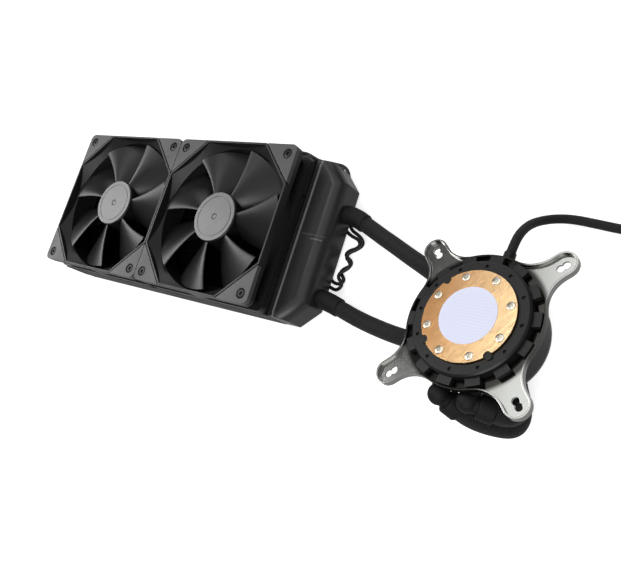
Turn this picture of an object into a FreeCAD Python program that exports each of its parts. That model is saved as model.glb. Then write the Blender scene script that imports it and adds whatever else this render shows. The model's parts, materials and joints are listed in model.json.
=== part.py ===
import FreeCAD, Part
import os
import re
from math import atan2, cos, pi, radians, sin, sqrt, tan

import Sketcher

V = FreeCAD.Vector
X_AXIS, Y_AXIS, Z_AXIS = V(1, 0, 0), V(0, 1, 0), V(0, 0, 1)

# Driving dimensions in millimetres and degrees.
# The origin is the middle of the radiator's rear face. +X runs along the radiator to the hoses,
# +Z leaves the front of the fans.
DIMENSIONS = {
    # Radiator core and its two tanks
    "rad_depth": 27, "case_step": 0.2, "plate_thick": 0.8, "flange_width": 12, "flange_hole": 1.75,
    "core_short": 4.5, "header_thick": 1.5,
    "tube_count": 12, "tube_thick": 2, "tube_margin": 4.5, "tube_wall": 0.4, "tube_round": 0.95,
    "fin_margin": 3.5, "fin_fold": 11.7, "fin_gauge": 0.3, "fin_gap": 0.12,
    "return_reach": 4, "port_reach": 28, "tank_floor": 3, "tank_wall": 2, "tank_roof_wall": 4.5,
    "tank_chamfer": 14, "tank_round": 9, "rim_offset": 4.2, "rim_width": 1.1, "rim_rise": 1,
    "spigot_upper": 25.5, "spigot_lower": -38.5, "spigot_level": 9.5, "spigot_radius": 4.1,
    "spigot_bore": 2.9, "spigot_reach": 12, "plug_radius": 4, "plug_head": 1.2, "plug_offset": 11,
    # Fans
    "fan_gap": 0.4, "fan_side": 119.6, "fan_depth": 25, "throat_wall": 2.3, "fan_corner": 5,
    "rim_step": 5.9, "rim_height": 5, "rim_wall": 1.5, "funnel_depth": 8, "funnel_flare": 8.5,
    "ear_thick": 3.5, "pad_thick": 4, "pad_gap": 0.6, "screw_inset": 7.3, "screw_radius": 1.7,
    "screw_hole": 2.2, "screw_head": 3.4, "screw_seat": 3.8, "screw_head_height": 2.2,
    "screw_length": 25.2, "screw_driver": 1.5,
    "hub_radius": 20, "hub_wall": 1.5, "hub_height": 14, "hub_back": 7.5, "hub_boss": 3,
    "blade_count": 7, "tip_gap": 1.2, "blade_front": 21, "blade_back": 8.2, "blade_span": 43,
    "blade_sweep": 10, "blade_gauge": 1.6, "blade_phase": 25.7,
    "disc_radius": 19.2, "disc_thick": 0.5, "disc_groove": 15.6, "disc_groove_width": 0.5,
    "base_radius": 20.5, "base_thick": 2, "strut_width": 3.4, "strut_height": 3.2, "strut_count": 4,
    "bearing_outer": 3.1, "bearing_wall": 1.4, "bearing_back": 2.4, "bearing_front": 14,
    "axle_radius": 1.5, "running_gap": 0.05, "stator_outer": 13.6, "stator_back": 4.2,
    "stator_front": 12.4, "pole_count": 4, "board_outer": 16, "board_thick": 1.2,
    "magnet_outer": 18.42, "magnet_inner": 14.6, "magnet_back": 8, "magnet_front": 17,
    # Pump, placed by the middle of its cold plate; depths run down from the plate's face
    "pump_x": 278.8, "pump_y": -37.8, "pump_z": 58, "pump_roll": -8.8, "pump_pitch": -6.5,
    "block_radius": 34.5, "block_depth": 30, "cap_height": 9, "cap_round": 7.5, "cap_inner": 30,
    "cap_floor": 2.5, "collar_radius": 33.4, "collar_top": 1.6, "collar_chamfer": 1,
    "ledge_radius": 36.5, "ledge_top": 9.9, "ledge_bottom": 13, "lug_count": 14, "lug_outer": 39.1,
    "lug_width": 8.4, "lug_top": 4.2, "lug_bottom": 7.8, "lug_phase": 9, "dimple_count": 12,
    "dimple_ring": 30.9, "dimple_radius": 1.1,
    "plate_radius": 27.5, "plate_depth": 3, "plate_screws": 8, "plate_screw_ring": 24.1,
    "plate_screw_head": 2.5, "plate_screw_radius": 1.15, "plate_screw_length": 8, "head_depth": 1.2,
    "tab_radius": 2.2, "tab_ring": 27.6, "microfin_side": 26, "microfin_height": 3.4,
    "microfin_count": 12, "compound_radius": 17, "compound_thick": 0.25,
    "chamber_radius": 19.5, "chamber_floor": 8, "seal_ring": 21.1, "seal_radius": 0.7,
    "jet_thick": 1, "jet_slot": 2.4, "volute_radius": 13, "volute_floor": 20, "can_radius": 9.5,
    "can_wall": 1.5, "can_drop": 2, "pocket_outer": 23, "pocket_depth": 6.5,
    "wheel_radius": 11, "wheel_top": 10, "wheel_plate": 1.2, "vane_count": 7, "wheel_hub": 3,
    "rotor_magnet": 8.8, "rotor_clear": 1.2, "pin_radius": 1, "pin_top": 8.6, "pin_foot": 1,
    "coil_inner": 11.15, "coil_outer": 22.8, "coil_core": 14, "coil_count": 6,
    "control_radius": 28, "control_gap": 0.2, "control_thick": 1.6,
    "port_depth": 17, "port_front": 36.6, "port_boss": 5.4, "port_bore": 4, "outlet_side": 8,
    "inlet_side": -10, "elbow_corner": 42, "elbow_round": 6.3, "elbow_flange": 1.5,
    "elbow_neck": 5, "elbow_sleeve": 5.2, "elbow_sleeve_end": 5.7, "elbow_end": 15.3,
    "elbow_bore": 2.7, "elbow_barb": 3.9, "hose_collar": 7.2, "outlet_dip": 35, "inlet_dip": 52,
    "inlet_swing": 20,
    "bracket_inner": 35, "bracket_outer": 40.5, "bracket_top": 8.1, "bracket_thick": 1.5,
    "bracket_rim": 1.1, "bracket_rim_height": 2.6, "arm_reach": 56, "arm_radius": 7.4,
    "arm_flare": 18, "slot_offset": 38.75, "slot_spread": 2.5, "slot_radius": 2.1,
    "gland_side": 3, "gland_depth": 15, "gland_radius": 4.2, "gland_tip": 3.5, "gland_end": 47,
    # Cords
    "hose_radius": 5.8, "cable_radius": 2.8, "lead_radius": 1.3, "coil_radius": 31,
    "plug_length": 18, "plug_width": 10, "plug_height": 6.6, "lead_plug_length": 13,
    "lead_plug_width": 10, "lead_plug_height": 5.6,
}

# Sizes that follow from those above: what fits in, lines up with or stands on another piece.
FOLLOWING = {
    "fan_pitch": "fan_side + fan_gap", "screw_spacing": "fan_side - 2 * screw_inset",
    "fan_throat": "fan_side / 2 - throat_wall", "blade_tip": "fan_throat - tip_gap",
    "rim_diagonal": "fan_throat + rim_step", "funnel_mouth": "fan_throat + funnel_flare",
    "rad_half": "fan_side / 2 + case_step", "tube_depth": "rad_depth - 2 * tube_margin",
    "fin_depth": "rad_depth - 2 * fin_margin", "core_left": "core_short - fan_pitch",
    "core_right": "fan_pitch - header_thick", "return_end": "0 - fan_pitch - return_reach",
    "port_end": "fan_pitch + port_reach", "rim_at": "fan_pitch + rim_offset",
    "plug_along": "fan_pitch + plug_offset", "cap_depth": "block_depth + cap_height",
    "can_end": "block_depth + can_drop", "coil_end": "block_depth + can_drop",
    "control_top": "coil_end + control_gap", "pocket_top": "block_depth - pocket_depth",
    "rotor_end": "block_depth - rotor_clear", "pin_end": "can_end - pin_foot",
}

doc = FreeCAD.newDocument("liquid_cooler")
sheet = doc.addObject("Spreadsheet::Sheet", "Sizes")
for row, (alias, value) in enumerate(DIMENSIONS.items(), start=1):
    sheet.set(f"A{row}", alias)
    sheet.set(f"B{row}", str(value))
    sheet.setAlias(f"B{row}", alias)
doc.recompute()
for row, (alias, formula) in enumerate(FOLLOWING.items(), start=len(DIMENSIONS) + 1):
    sheet.set(f"A{row}", alias)
    sheet.set(f"B{row}", "=" + formula)
    sheet.setAlias(f"B{row}", alias)
    doc.recompute()

WORD = re.compile(r"[a-z][a-z_]*")
pieces = []


def size(alias):
    return float(sheet.get(alias))


def bind(obj, prop, formula):
    """Tie a property to a formula of sheet aliases."""
    obj.setExpression(prop, WORD.sub(r"Sizes.\g<0>", formula))


def primitive(kind, name, at, turn=None, **formulas):
    obj = doc.addObject("Part::" + kind, name)
    for prop, formula in formulas.items():
        bind(obj, prop, formula)
    if turn:
        obj.Placement.Rotation = turn
    for axis, formula in zip("xyz", at):
        bind(obj, "Placement.Base." + axis, formula)
    return obj


def cylinder(name, radius, height, at=("0", "0", "0"), turn=None):
    return primitive("Cylinder", name, at, turn, Radius=radius, Height=height)


def box(name, length, width, height, at=("0", "0", "0"), turn=None):
    return primitive("Box", name, at, turn, Length=length, Width=width, Height=height)


def ring(name, outer, inner, height, at=("0", "0", "0")):
    return cut(name, cylinder(name + "_outer", outer, height, at),
               cylinder(name + "_inner", inner, height, at))


def cut(name, base, *tools):
    obj = doc.addObject("Part::Cut", name)
    obj.Base = base
    obj.Tool = tools[0] if len(tools) == 1 else group(name + "_tools", tools)
    return obj


def common(name, base, tool):
    obj = doc.addObject("Part::Common", name)
    obj.Base, obj.Tool = base, tool
    return obj


def fuse(name, *parts):
    obj = doc.addObject("Part::MultiFuse", name)
    obj.Shapes = list(parts)
    return obj


def group(name, parts):
    obj = doc.addObject("Part::Compound", name)
    obj.Links = list(parts)
    return obj


def about_z(angle):
    return FreeCAD.Rotation(Z_AXIS, angle)


def turned_copies(name, source, count, phase=0.0, centre="0"):
    """Copies of one object spaced evenly about a vertical line through X = centre."""
    copies = []
    for index in range(count):
        copy = doc.addObject("Part::Compound", f"{name}_{index + 1}")
        copy.Links = [source]
        copy.Placement.Rotation = about_z(phase + 360.0 * index / count)
        bind(copy, "Placement.Base.x", centre)
        copies.append(copy)
    return copies


def outline_sketch(body, plane, points, name):
    """Closed outline whose corners are each held by two formulas."""
    sketch = body.newObject("Sketcher::SketchObject", name)
    origin_plane = [item for item in body.Origin.OriginFeatures if item.Role == plane][0]
    sketch.AttachmentSupport = [(origin_plane, "")]
    sketch.MapMode = "FlatFace"
    count = len(points)
    start = [V(10 * cos(2 * pi * i / count), 10 * sin(2 * pi * i / count), 0) for i in range(count)]
    for i in range(count):
        sketch.addGeometry(Part.LineSegment(start[i], start[(i + 1) % count]), False)
    for i in range(count):
        sketch.addConstraint(Sketcher.Constraint("Coincident", i, 2, (i + 1) % count, 1))
    for i, formulas in enumerate(points):
        for kind, place, formula in zip(("DistanceX", "DistanceY"), (start[i].x, start[i].y), formulas):
            index = sketch.addConstraint(Sketcher.Constraint(kind, -1, 1, i, 1, place))
            bind(sketch, f"Constraints[{index}]", formula)
    return sketch


def revolved(name, points):
    """Body turned about Z from a half section of (radius, height) corners."""
    body = doc.addObject("PartDesign::Body", name)
    sketch = outline_sketch(body, "XZ_Plane", points, name + "_section")
    turn = body.newObject("PartDesign::Revolution", name + "_turn")
    turn.Profile = sketch
    turn.ReferenceAxis = (sketch, ["V_Axis"])
    turn.Angle = 360
    return body


def soft_ring(middle, radius):
    """Eight-sided section for a moulded sealing ring."""
    angles = [radians(22.5 + 45 * i) for i in range(8)]
    return [(f"{middle} + ({radius}) * {cos(a):.6f}", f"({radius}) * {sin(a):.6f}") for a in angles]


def padded(name, plane, points, length, midplane=False):
    """Body extruded from an outline; XY grows along Z, YZ along X."""
    body = doc.addObject("PartDesign::Body", name)
    pad = body.newObject("PartDesign::Pad", name + "_pad")
    pad.Profile = outline_sketch(body, plane, points, name + "_section")
    bind(pad, "Length", length)
    pad.Midplane = midplane
    return body


def rounded_edges(name, base, radius, chosen):
    """Fillet on the edges of base that the test picks."""
    doc.recompute()
    obj = doc.addObject("Part::Fillet", name)
    obj.Base = base
    obj.Edges = [(i + 1, size(radius), size(radius)) for i, edge in enumerate(base.Shape.Edges)
                 if chosen(edge)]
    return obj


def upright(edge):
    ends = [vertex.Point for vertex in edge.Vertexes]
    return len(ends) == 2 and abs(ends[0].x - ends[1].x) + abs(ends[0].y - ends[1].y) < 1e-6


def feature(name, shape):
    obj = doc.addObject("Part::Feature", name)
    obj.Shape = shape
    return obj


def node(obj, label):
    """Register a finished sub-part under the name of its file."""
    obj.Label = label
    pieces.append(obj)
    return obj


# Radiator: flat tubes with folded fins between them, brazed into two header plates

def radiator_core():
    count = int(size("tube_count"))
    row = "(2 * (rad_half - plate_thick) - tube_count * tube_thick) / (tube_count + 1)"
    length = "core_right - core_left + 2 * header_thick"
    tubes, blanks = [], []
    for index in range(count):
        low = f"-rad_half + plate_thick + {index + 1} * {row} + {index} * tube_thick"
        start = ("core_left - header_thick", low, "(rad_depth - tube_depth) / 2")
        blank = box(f"tube_blank_{index + 1}", length, "tube_thick", "tube_depth", start)
        blank = rounded_edges(f"tube_skin_{index + 1}", blank, "tube_round",
                              lambda edge: abs(edge.tangentAt(edge.FirstParameter).x) > 0.9)
        bore = box(f"tube_bore_{index + 1}", length, "tube_thick - 2 * tube_wall",
                   "tube_depth - 4 * tube_wall",
                   (start[0], low + " + tube_wall", start[2] + " + 2 * tube_wall"))
        blanks.append(blank)
        tubes.append(cut(f"tube_{index + 1}", blank, bore))
    node(group("core_tubes", tubes), "core_tubes")
    for label, low_x in (("return", "core_left - header_thick"), ("port", "core_right")):
        blank = box(label + "_header_blank", "header_thick", "2 * rad_half", "rad_depth - tank_floor",
                    (low_x, "-rad_half", "tank_floor"))
        node(cut(label + "_header", blank, group(label + "_header_slots", blanks)),
             label + "_header_plate")


def folded_fins():
    """One corrugated strip per row, its crests just clear of the tubes."""
    count = int(size("tube_count"))
    room = 2 * (size("rad_half") - size("plate_thick")) - count * size("tube_thick")
    row = room / (count + 1)
    gauge, gap = size("fin_gauge"), size("fin_gap")
    left, right = size("core_left") + gap, size("core_right") - gap
    folds = int((right - left) / size("fin_fold"))
    step = (right - left) / (2 * folds)
    strips = []
    for index in range(count + 1):
        low = -size("rad_half") + size("plate_thick") + index * (row + size("tube_thick")) + gap
        high = low + row - 2 * gap
        level = [(low, high - gauge)[i % 2] for i in range(2 * folds + 1)]
        places = [left + i * step for i in range(2 * folds + 1)]
        under = [V(x, y, 0) for x, y in zip(places, level)]
        over = [V(x, y + gauge, 0) for x, y in zip(places, level)]
        wire = Part.makePolygon(under + over[::-1] + under[:1])
        strips.append(Part.Face(wire).extrude(V(0, 0, size("fin_depth"))))
    fins = feature("core_fins", Part.makeCompound(strips))
    fins.Placement.Base = V(0, 0, (size("rad_depth") - size("fin_depth")) / 2)
    node(fins, "core_fins")


def side_plates():
    """Folded channels with a row of screw holes in both flanges."""
    for label, sign in (("upper", "+"), ("lower", "-")):
        def across(formula):
            return f"{sign}({formula})"
        section = [(across("rad_half"), "0"), (across("rad_half"), "rad_depth"),
                   (across("rad_half - flange_width"), "rad_depth"),
                   (across("rad_half - flange_width"), "rad_depth - plate_thick"),
                   (across("rad_half - plate_thick"), "rad_depth - plate_thick"),
                   (across("rad_half - plate_thick"), "plate_thick"),
                   (across("rad_half - flange_width"), "plate_thick"),
                   (across("rad_half - flange_width"), "0")]
        channel = padded(label + "_channel", "YZ_Plane", section, "core_right - core_left")
        bind(channel, "Placement.Base.x", "core_left")
        holes = []
        for fan in ("-", "+"):
            for end in ("-", "+"):
                at = (f"{fan}fan_pitch / 2 {end} screw_spacing / 2", across("screw_spacing / 2"), "-1")
                holes.append(cylinder(f"{label}_hole_{len(holes) + 1}", "flange_hole",
                                      "rad_depth + 2", at))
        node(cut(label + "_plate", channel, *holes), label + "_side_plate")


def port_tank():
    """Deep end tank with cut corners, a soft front edge and a rolled rim beside the fan."""
    plan = [("core_right + header_thick", "-rad_half"), ("port_end - tank_chamfer", "-rad_half"),
            ("port_end", "-rad_half + tank_chamfer"), ("port_end", "rad_half - tank_chamfer"),
            ("port_end - tank_chamfer", "rad_half"), ("core_right + header_thick", "rad_half")]
    shell = padded("port_shell", "XY_Plane", plan, "rad_depth - tank_floor")
    bind(shell, "Placement.Base.z", "tank_floor")
    front, limit = size("rad_depth"), size("port_end") - size("tank_chamfer") + 0.01
    soft = rounded_edges("port_soft", shell, "tank_round", lambda edge: (
        edge.CenterOfMass.z > front - 1e-3 and edge.CenterOfMass.x > limit))
    hollow = padded("port_hollow", "XY_Plane", [
        ("core_right + header_thick", "-rad_half + tank_wall"),
        ("port_end - tank_chamfer - tank_wall", "-rad_half + tank_wall"),
        ("port_end - tank_wall - 1", "-rad_half + tank_chamfer + tank_wall"),
        ("port_end - tank_wall - 1", "rad_half - tank_chamfer - tank_wall"),
        ("port_end - tank_chamfer - tank_wall", "rad_half - tank_wall"),
        ("core_right + header_thick", "rad_half - tank_wall")],
        "rad_depth - tank_floor - tank_wall - tank_roof_wall")
    bind(hollow, "Placement.Base.z", "tank_floor + tank_wall")
    rim = box("port_rim", "rim_width", "2 * rad_half - 6", "rim_rise + 1",
              ("rim_at", "-rad_half + 3", "rad_depth - 1"))
    along_x = FreeCAD.Rotation(Y_AXIS, 90)
    holes = [cylinder(f"port_hole_{i + 1}", "spigot_radius", "20",
                      ("port_end - 10", y, "spigot_level"), along_x)
             for i, y in enumerate(("spigot_upper", "spigot_lower"))]
    seat = cylinder("plug_seat", "plug_radius", "tank_wall + 1",
                    ("plug_along", "rad_half - tank_wall - 0.5", "rad_depth / 2"),
                    FreeCAD.Rotation(X_AXIS, -90))
    node(cut("port_tank", fuse("port_outer", soft, rim), hollow, seat, *holes), "port_tank")
    spigots = []
    for i, y in enumerate(("spigot_upper", "spigot_lower")):
        start = ("port_end - tank_wall - 1", y, "spigot_level")
        outer = cylinder(f"spigot_{i}_outer", "spigot_radius", "spigot_reach + tank_wall + 1",
                         start, along_x)
        bore = cylinder(f"spigot_{i}_bore", "spigot_bore", "spigot_reach + tank_wall + 1",
                        start, along_x)
        spigots.append(cut(f"spigot_{i}", outer, bore))
    node(group("tank_spigots", spigots), "tank_spigots")
    collars = []
    for i, y in enumerate(("spigot_upper", "spigot_lower")):
        sleeve = revolved(f"tank_collar_{i}", [
            ("spigot_radius + 0.02", "0"), ("hose_collar - 0.6", "0"), ("hose_collar", "0.6"),
            ("hose_collar", "spigot_reach - 1.6"), ("hose_collar - 0.9", "spigot_reach"),
            ("spigot_radius + 0.02", "spigot_reach")])
        sleeve.Placement.Rotation = along_x
        for axis, formula in zip("xyz", ("port_end", y, "spigot_level")):
            bind(sleeve, "Placement.Base." + axis, formula)
        collars.append(sleeve)
    node(group("tank_collars", collars), "tank_collars")
    plug = revolved("fill_plug", [("0", "0"), ("plug_radius", "0"), ("plug_radius", "tank_wall + 0.5"),
                                  ("1.6", "tank_wall + 0.5"), ("1.6", "1"), ("0", "1")])
    plug.Placement.Rotation = FreeCAD.Rotation(X_AXIS, -90)
    for axis, formula in zip("xyz", ("plug_along", "rad_half - tank_wall - 0.5", "rad_depth / 2")):
        bind(plug, "Placement.Base." + axis, formula)
    node(plug, "fill_plug")


def return_tank():
    shell = box("return_shell", "core_left - header_thick - return_end", "2 * rad_half",
                "rad_depth - tank_floor", ("return_end", "-rad_half", "tank_floor"))
    soft = rounded_edges("return_soft", shell, "tank_wall", lambda edge: (
        edge.CenterOfMass.x < size("return_end") + 1e-3 and abs(edge.CenterOfMass.y) < 1))
    hollow = box("return_hollow", "core_left - header_thick - return_end - tank_wall",
                 "2 * (rad_half - tank_wall)", "rad_depth - tank_floor - tank_wall - tank_roof_wall",
                 ("return_end + tank_wall", "-rad_half + tank_wall", "tank_floor + tank_wall"))
    node(cut("return_tank", soft, hollow), "return_tank")


# Fans

def octagon(name, half, diagonal, height, centre, z):
    """Square prism with its corners cut at 45 degrees."""
    square = box(name + "_square", f"2 * ({half})", f"2 * ({half})", height,
                 (f"{centre} - ({half})", f"-({half})", z))
    corners = box(name + "_corners", f"2 * ({diagonal})", f"2 * ({diagonal})", height,
                  (centre, f"-({diagonal}) * 1.41421356", z), about_z(45))
    return common(name, square, corners)


def soft_square(name, height, centre, z):
    plain = box(name + "_plain", "fan_side", "fan_side", height,
                (f"{centre} - fan_side / 2", "-fan_side / 2", z))
    return rounded_edges(name, plain, "fan_corner", upright)


def corner_points(centre):
    half = "screw_spacing / 2"
    return [(f"{centre} {sx} {half}", f"{sy}{half}") for sx in "+-" for sy in "+-"]


def fan_frame(fan, centre):
    back = "rad_depth"
    front = "rad_depth + fan_depth"
    barrel = cylinder(fan + "_barrel", "fan_side / 2", "fan_depth", (centre, "0", back))
    ears = [soft_square(fan + "_front_ear", "ear_thick", centre, front + " - pad_thick - ear_thick"),
            soft_square(fan + "_rear_ear", "ear_thick", centre, back + " + pad_thick")]
    rims = [octagon(fan + "_front_rim", "fan_side / 2", "rim_diagonal", "rim_height", centre,
                    front + " - rim_height"),
            octagon(fan + "_rear_rim", "fan_side / 2", "rim_diagonal", "rim_height", centre, back)]
    throat = cylinder(fan + "_throat", "fan_throat", "fan_depth + 2", (centre, "0", back + " - 1"))
    cone = primitive("Cone", fan + "_cone", (centre, "0", front + " - funnel_depth"), None,
                     Radius1="fan_throat", Radius2="funnel_mouth", Height="funnel_depth")
    mouth = octagon(fan + "_mouth", "fan_side / 2 - rim_wall", "rim_diagonal - rim_wall",
                    "funnel_depth", centre, front + " - funnel_depth")
    funnel = common(fan + "_funnel", cone, mouth)
    holes = [cylinder(f"{fan}_hole_{i + 1}", "screw_hole", "fan_depth + 2", (x, y, back + " - 1"))
             for i, (x, y) in enumerate(corner_points(centre))]
    shell = cut(fan + "_shell", fuse(fan + "_body", barrel, *ears, *rims), throat, funnel, *holes)
    base = cylinder(fan + "_base", "base_radius", "base_thick", (centre, "0", back))
    strut = box(fan + "_strut", "fan_throat - base_radius + 3", "strut_width", "strut_height",
                ("base_radius - 1.5", "-strut_width / 2", back))
    struts = turned_copies(fan + "_arm", strut, int(size("strut_count")), 20, centre)
    post = cylinder(fan + "_post", "bearing_outer + bearing_wall", "bearing_front - 0.5",
                    (centre, "0", back + " + 0.5"))
    socket = cylinder(fan + "_socket", "bearing_outer", "fan_depth", (centre, "0",
                                                                     back + " + bearing_back"))
    solid = fuse(fan + "_solid", shell, base, post, *struts)
    node(cut(fan + "_frame", solid, socket), fan + "_frame")
    pads = []
    for level, low in (("front", front + " - pad_thick"), ("rear", back)):
        plate = soft_square(f"{fan}_{level}_pad_plate", "pad_thick", centre, low)
        inner = octagon(f"{fan}_{level}_pad_cut", "fan_side / 2 + 1", "rim_diagonal + pad_gap",
                        "pad_thick", centre, low)
        drill = [cylinder(f"{fan}_{level}_pad_hole_{i}", "screw_hole", "pad_thick", (x, y, low))
                 for i, (x, y) in enumerate(corner_points(centre))]
        if level == "front":
            drill += [cylinder(f"{fan}_pad_seat_{i}", "screw_seat", "pad_thick",
                               (x, y, front + " - screw_head_height - 0.4"))
                      for i, (x, y) in enumerate(corner_points(centre))]
        pads.append(cut(f"{fan}_{level}_pads", plate, inner, *drill))
    node(group(fan + "_corner_pads", pads), fan + "_corner_pads")
    screws = []
    for i, (x, y) in enumerate(corner_points(centre)):
        under_head = front + " - screw_head_height - 0.4"
        head = cylinder(f"{fan}_head_{i}", "screw_head", "screw_head_height", (x, y, under_head))
        shank = cylinder(f"{fan}_shank_{i}", "screw_radius", "screw_length",
                         (x, y, under_head + " - screw_length"))
        drive = box(f"{fan}_drive_{i}", "screw_driver * 2", "screw_driver * 0.6", "1.3",
                    (x + " - screw_driver", y + " - screw_driver * 0.3", front + " - 1.7"))
        cross = box(f"{fan}_cross_{i}", "screw_driver * 0.6", "screw_driver * 2", "1.3",
                    (x + " - screw_driver * 0.3", y + " - screw_driver", front + " - 1.7"))
        screws.append(cut(f"{fan}_screw_{i}", fuse(f"{fan}_bolt_{i}", head, shank), drive, cross))
    node(group(fan + "_screws", screws), fan + "_screws")


def blade_section(radius, lead_angle):
    """Thin curved section, square to the radius at the middle of the blade's span."""
    half = radians(size("blade_span")) / 2 * radius
    front, back, gauge = size("blade_front"), size("blade_back"), size("blade_gauge")
    middle = lead_angle - size("blade_span") / 2
    stations = (0.0, 0.3, 0.65, 1.0)
    top = [(half * (1 - 2 * s), front - (front - back) * s ** 1.2) for s in stations]
    slope = atan2(front - back, 2 * half)
    shift = (gauge * sin(slope), -gauge * cos(slope))
    taper = (0.35, 1.0, 1.0, 0.35)
    low = [(along + shift[0] * k, level + shift[1] * k) for (along, level), k in zip(top, taper)]
    turn = about_z(middle)
    corners = [turn.multVec(V(radius, along, level)) for along, level in top + low[::-1]]
    return Part.makePolygon(corners + corners[:1])


def fan_rotor(fan, centre):
    back = "rad_depth"
    cup = revolved(fan + "_cup", [
        ("axle_radius + 0.02", "hub_back + hub_height"), ("hub_radius - 1", "hub_back + hub_height"),
        ("hub_radius", "hub_back + hub_height - 1"), ("hub_radius", "hub_back"),
        ("hub_radius - hub_wall", "hub_back"),
        ("hub_radius - hub_wall", "hub_back + hub_height - hub_wall"),
        ("hub_boss", "hub_back + hub_height - hub_wall"), ("hub_boss", "bearing_front + 1"),
        ("axle_radius + 0.02", "bearing_front + 1")])
    radii = (size("hub_radius") - 6, (size("hub_radius") + size("blade_tip")) / 2, size("blade_tip") + 7)
    leads = [size("blade_phase") - size("blade_sweep") * (size("blade_tip") - r)
             / (size("blade_tip") - size("hub_radius")) for r in radii]
    blade = Part.makeLoft([blade_section(r, a) for r, a in zip(radii, leads)], True, True)
    low, high = size("blade_back") - 3, size("blade_front") - size("blade_back") + 6
    reach = Part.makeCylinder(size("blade_tip"), high, V(0, 0, low))
    core = Part.makeCylinder(size("hub_radius") - size("hub_wall") / 2, high, V(0, 0, low))
    blade = blade.common(reach).cut(core)
    count = int(size("blade_count"))
    blades = [blade.rotated(V(0, 0, 0), Z_AXIS, 360.0 * i / count) for i in range(count)]
    rotor = fuse(fan + "_rotor", cup, *[feature(f"{fan}_blade_{i}", b) for i, b in enumerate(blades)])
    rotor.Refine = False
    disc = revolved(fan + "_disc", [
        ("0", "0"), ("disc_radius", "0"), ("disc_radius", "disc_thick"),
        ("disc_groove + disc_groove_width", "disc_thick"),
        ("disc_groove + disc_groove_width", "disc_thick * 0.4"),
        ("disc_groove", "disc_thick * 0.4"), ("disc_groove", "disc_thick"),
        ("2.6", "disc_thick"), ("1.6", "disc_thick * 0.4"), ("0", "disc_thick * 0.4")])
    magnet = ring(fan + "_magnet", "magnet_outer", "magnet_inner", "magnet_front - magnet_back")
    axle = cylinder(fan + "_axle", "axle_radius", "hub_back + hub_height - bearing_back - 0.6")
    lifts = ((rotor, "_rotor", "0"), (disc, "_hub_disc", "hub_back + hub_height"),
             (magnet, "_magnet_ring", "magnet_back"), (axle, "_shaft", "bearing_back + 0.6"))
    for obj, label, lift in lifts:
        bind(obj, "Placement.Base.x", centre)
        bind(obj, "Placement.Base.z", f"{back} + {lift}")
        node(obj, fan + label)


def fan_motor(fan, centre):
    back = "rad_depth"
    bearing = ring(fan + "_bearing", "bearing_outer - 0.02", "axle_radius + running_gap",
                   "bearing_front - bearing_back - 0.2",
                   (centre, "0", back + " + bearing_back + 0.2"))
    node(bearing, fan + "_bearing")
    board = ring(fan + "_board", "board_outer", "bearing_outer + bearing_wall + 0.1", "board_thick",
                 (centre, "0", back + " + base_thick + 0.05"))
    chips = [box(f"{fan}_chip_{i}", "3.2", "4.4", "0.9",
                 (f"{centre} {x}", y, back + " + base_thick + board_thick"))
             for i, (x, y) in enumerate((("+ 9", "-7"), ("- 12", "3"), ("- 4", "9")))]
    node(fuse(fan + "_circuit", board, *chips), fan + "_circuit_board")
    low = back + " + stator_back"
    height = "stator_front - stator_back"
    core = ring(fan + "_core", "stator_outer * 0.56", "bearing_outer + bearing_wall + 0.05", height,
                (centre, "0", low))
    poles = int(size("pole_count"))
    arm = box(fan + "_pole", "stator_outer * 0.42", "3", height + " - 2",
              ("stator_outer * 0.5", "-1.5", low + " + 1"))
    coil = box(fan + "_coil", "stator_outer * 0.26", "7", height,
               ("stator_outer * 0.58", "-3.5", low))
    band = ring(fan + "_shoe_band", "stator_outer", "stator_outer * 0.88", height, ("0", "0", low))
    wedge = box(fan + "_shoe_wedge", "stator_outer + 2", "13", height, ("0", "-6.5", low))
    shoe = common(fan + "_shoe", band, wedge)
    parts = []
    for source in (arm, coil, shoe):
        parts += turned_copies(source.Name + "_at", source, poles, 45, centre)
    node(fuse(fan + "_windings", core, *parts), fan + "_stator")


# Pump: every piece is drawn about its own axis, cold plate up at height 0, then set in its place

def set_in_pump(obj):
    place = ("placement(vector(pump_x; pump_y; pump_z); rotation(0; pump_pitch; pump_roll))")
    keep = {"placement", "vector", "rotation"}
    formula = WORD.sub(lambda m: m.group(0) if m.group(0) in keep else "Sizes." + m.group(0), place)
    obj.setExpression("Placement", formula)
    return obj


def pump_node(obj, label):
    return node(set_in_pump(obj), label)


def pump_placement():
    return FreeCAD.Placement(V(size("pump_x"), size("pump_y"), size("pump_z")),
                             FreeCAD.Rotation(0, size("pump_pitch"), size("pump_roll")))


def polar_points(count, radius, phase=0.0):
    """Formulas for places on a circle whose radius is a sheet alias."""
    angles = [radians(phase + 360.0 * i / count) for i in range(count)]
    return [(f"{radius} * {cos(a):.8f}", f"{radius} * {sin(a):.8f}") for a in angles]


SCREW_PHASE = 22.5
TAB_ANGLES = (137, -139, -46)
TOWARDS_FRONT = FreeCAD.Rotation(X_AXIS, 90)
TOWARDS_BACK = FreeCAD.Rotation(X_AXIS, -90)


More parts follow.
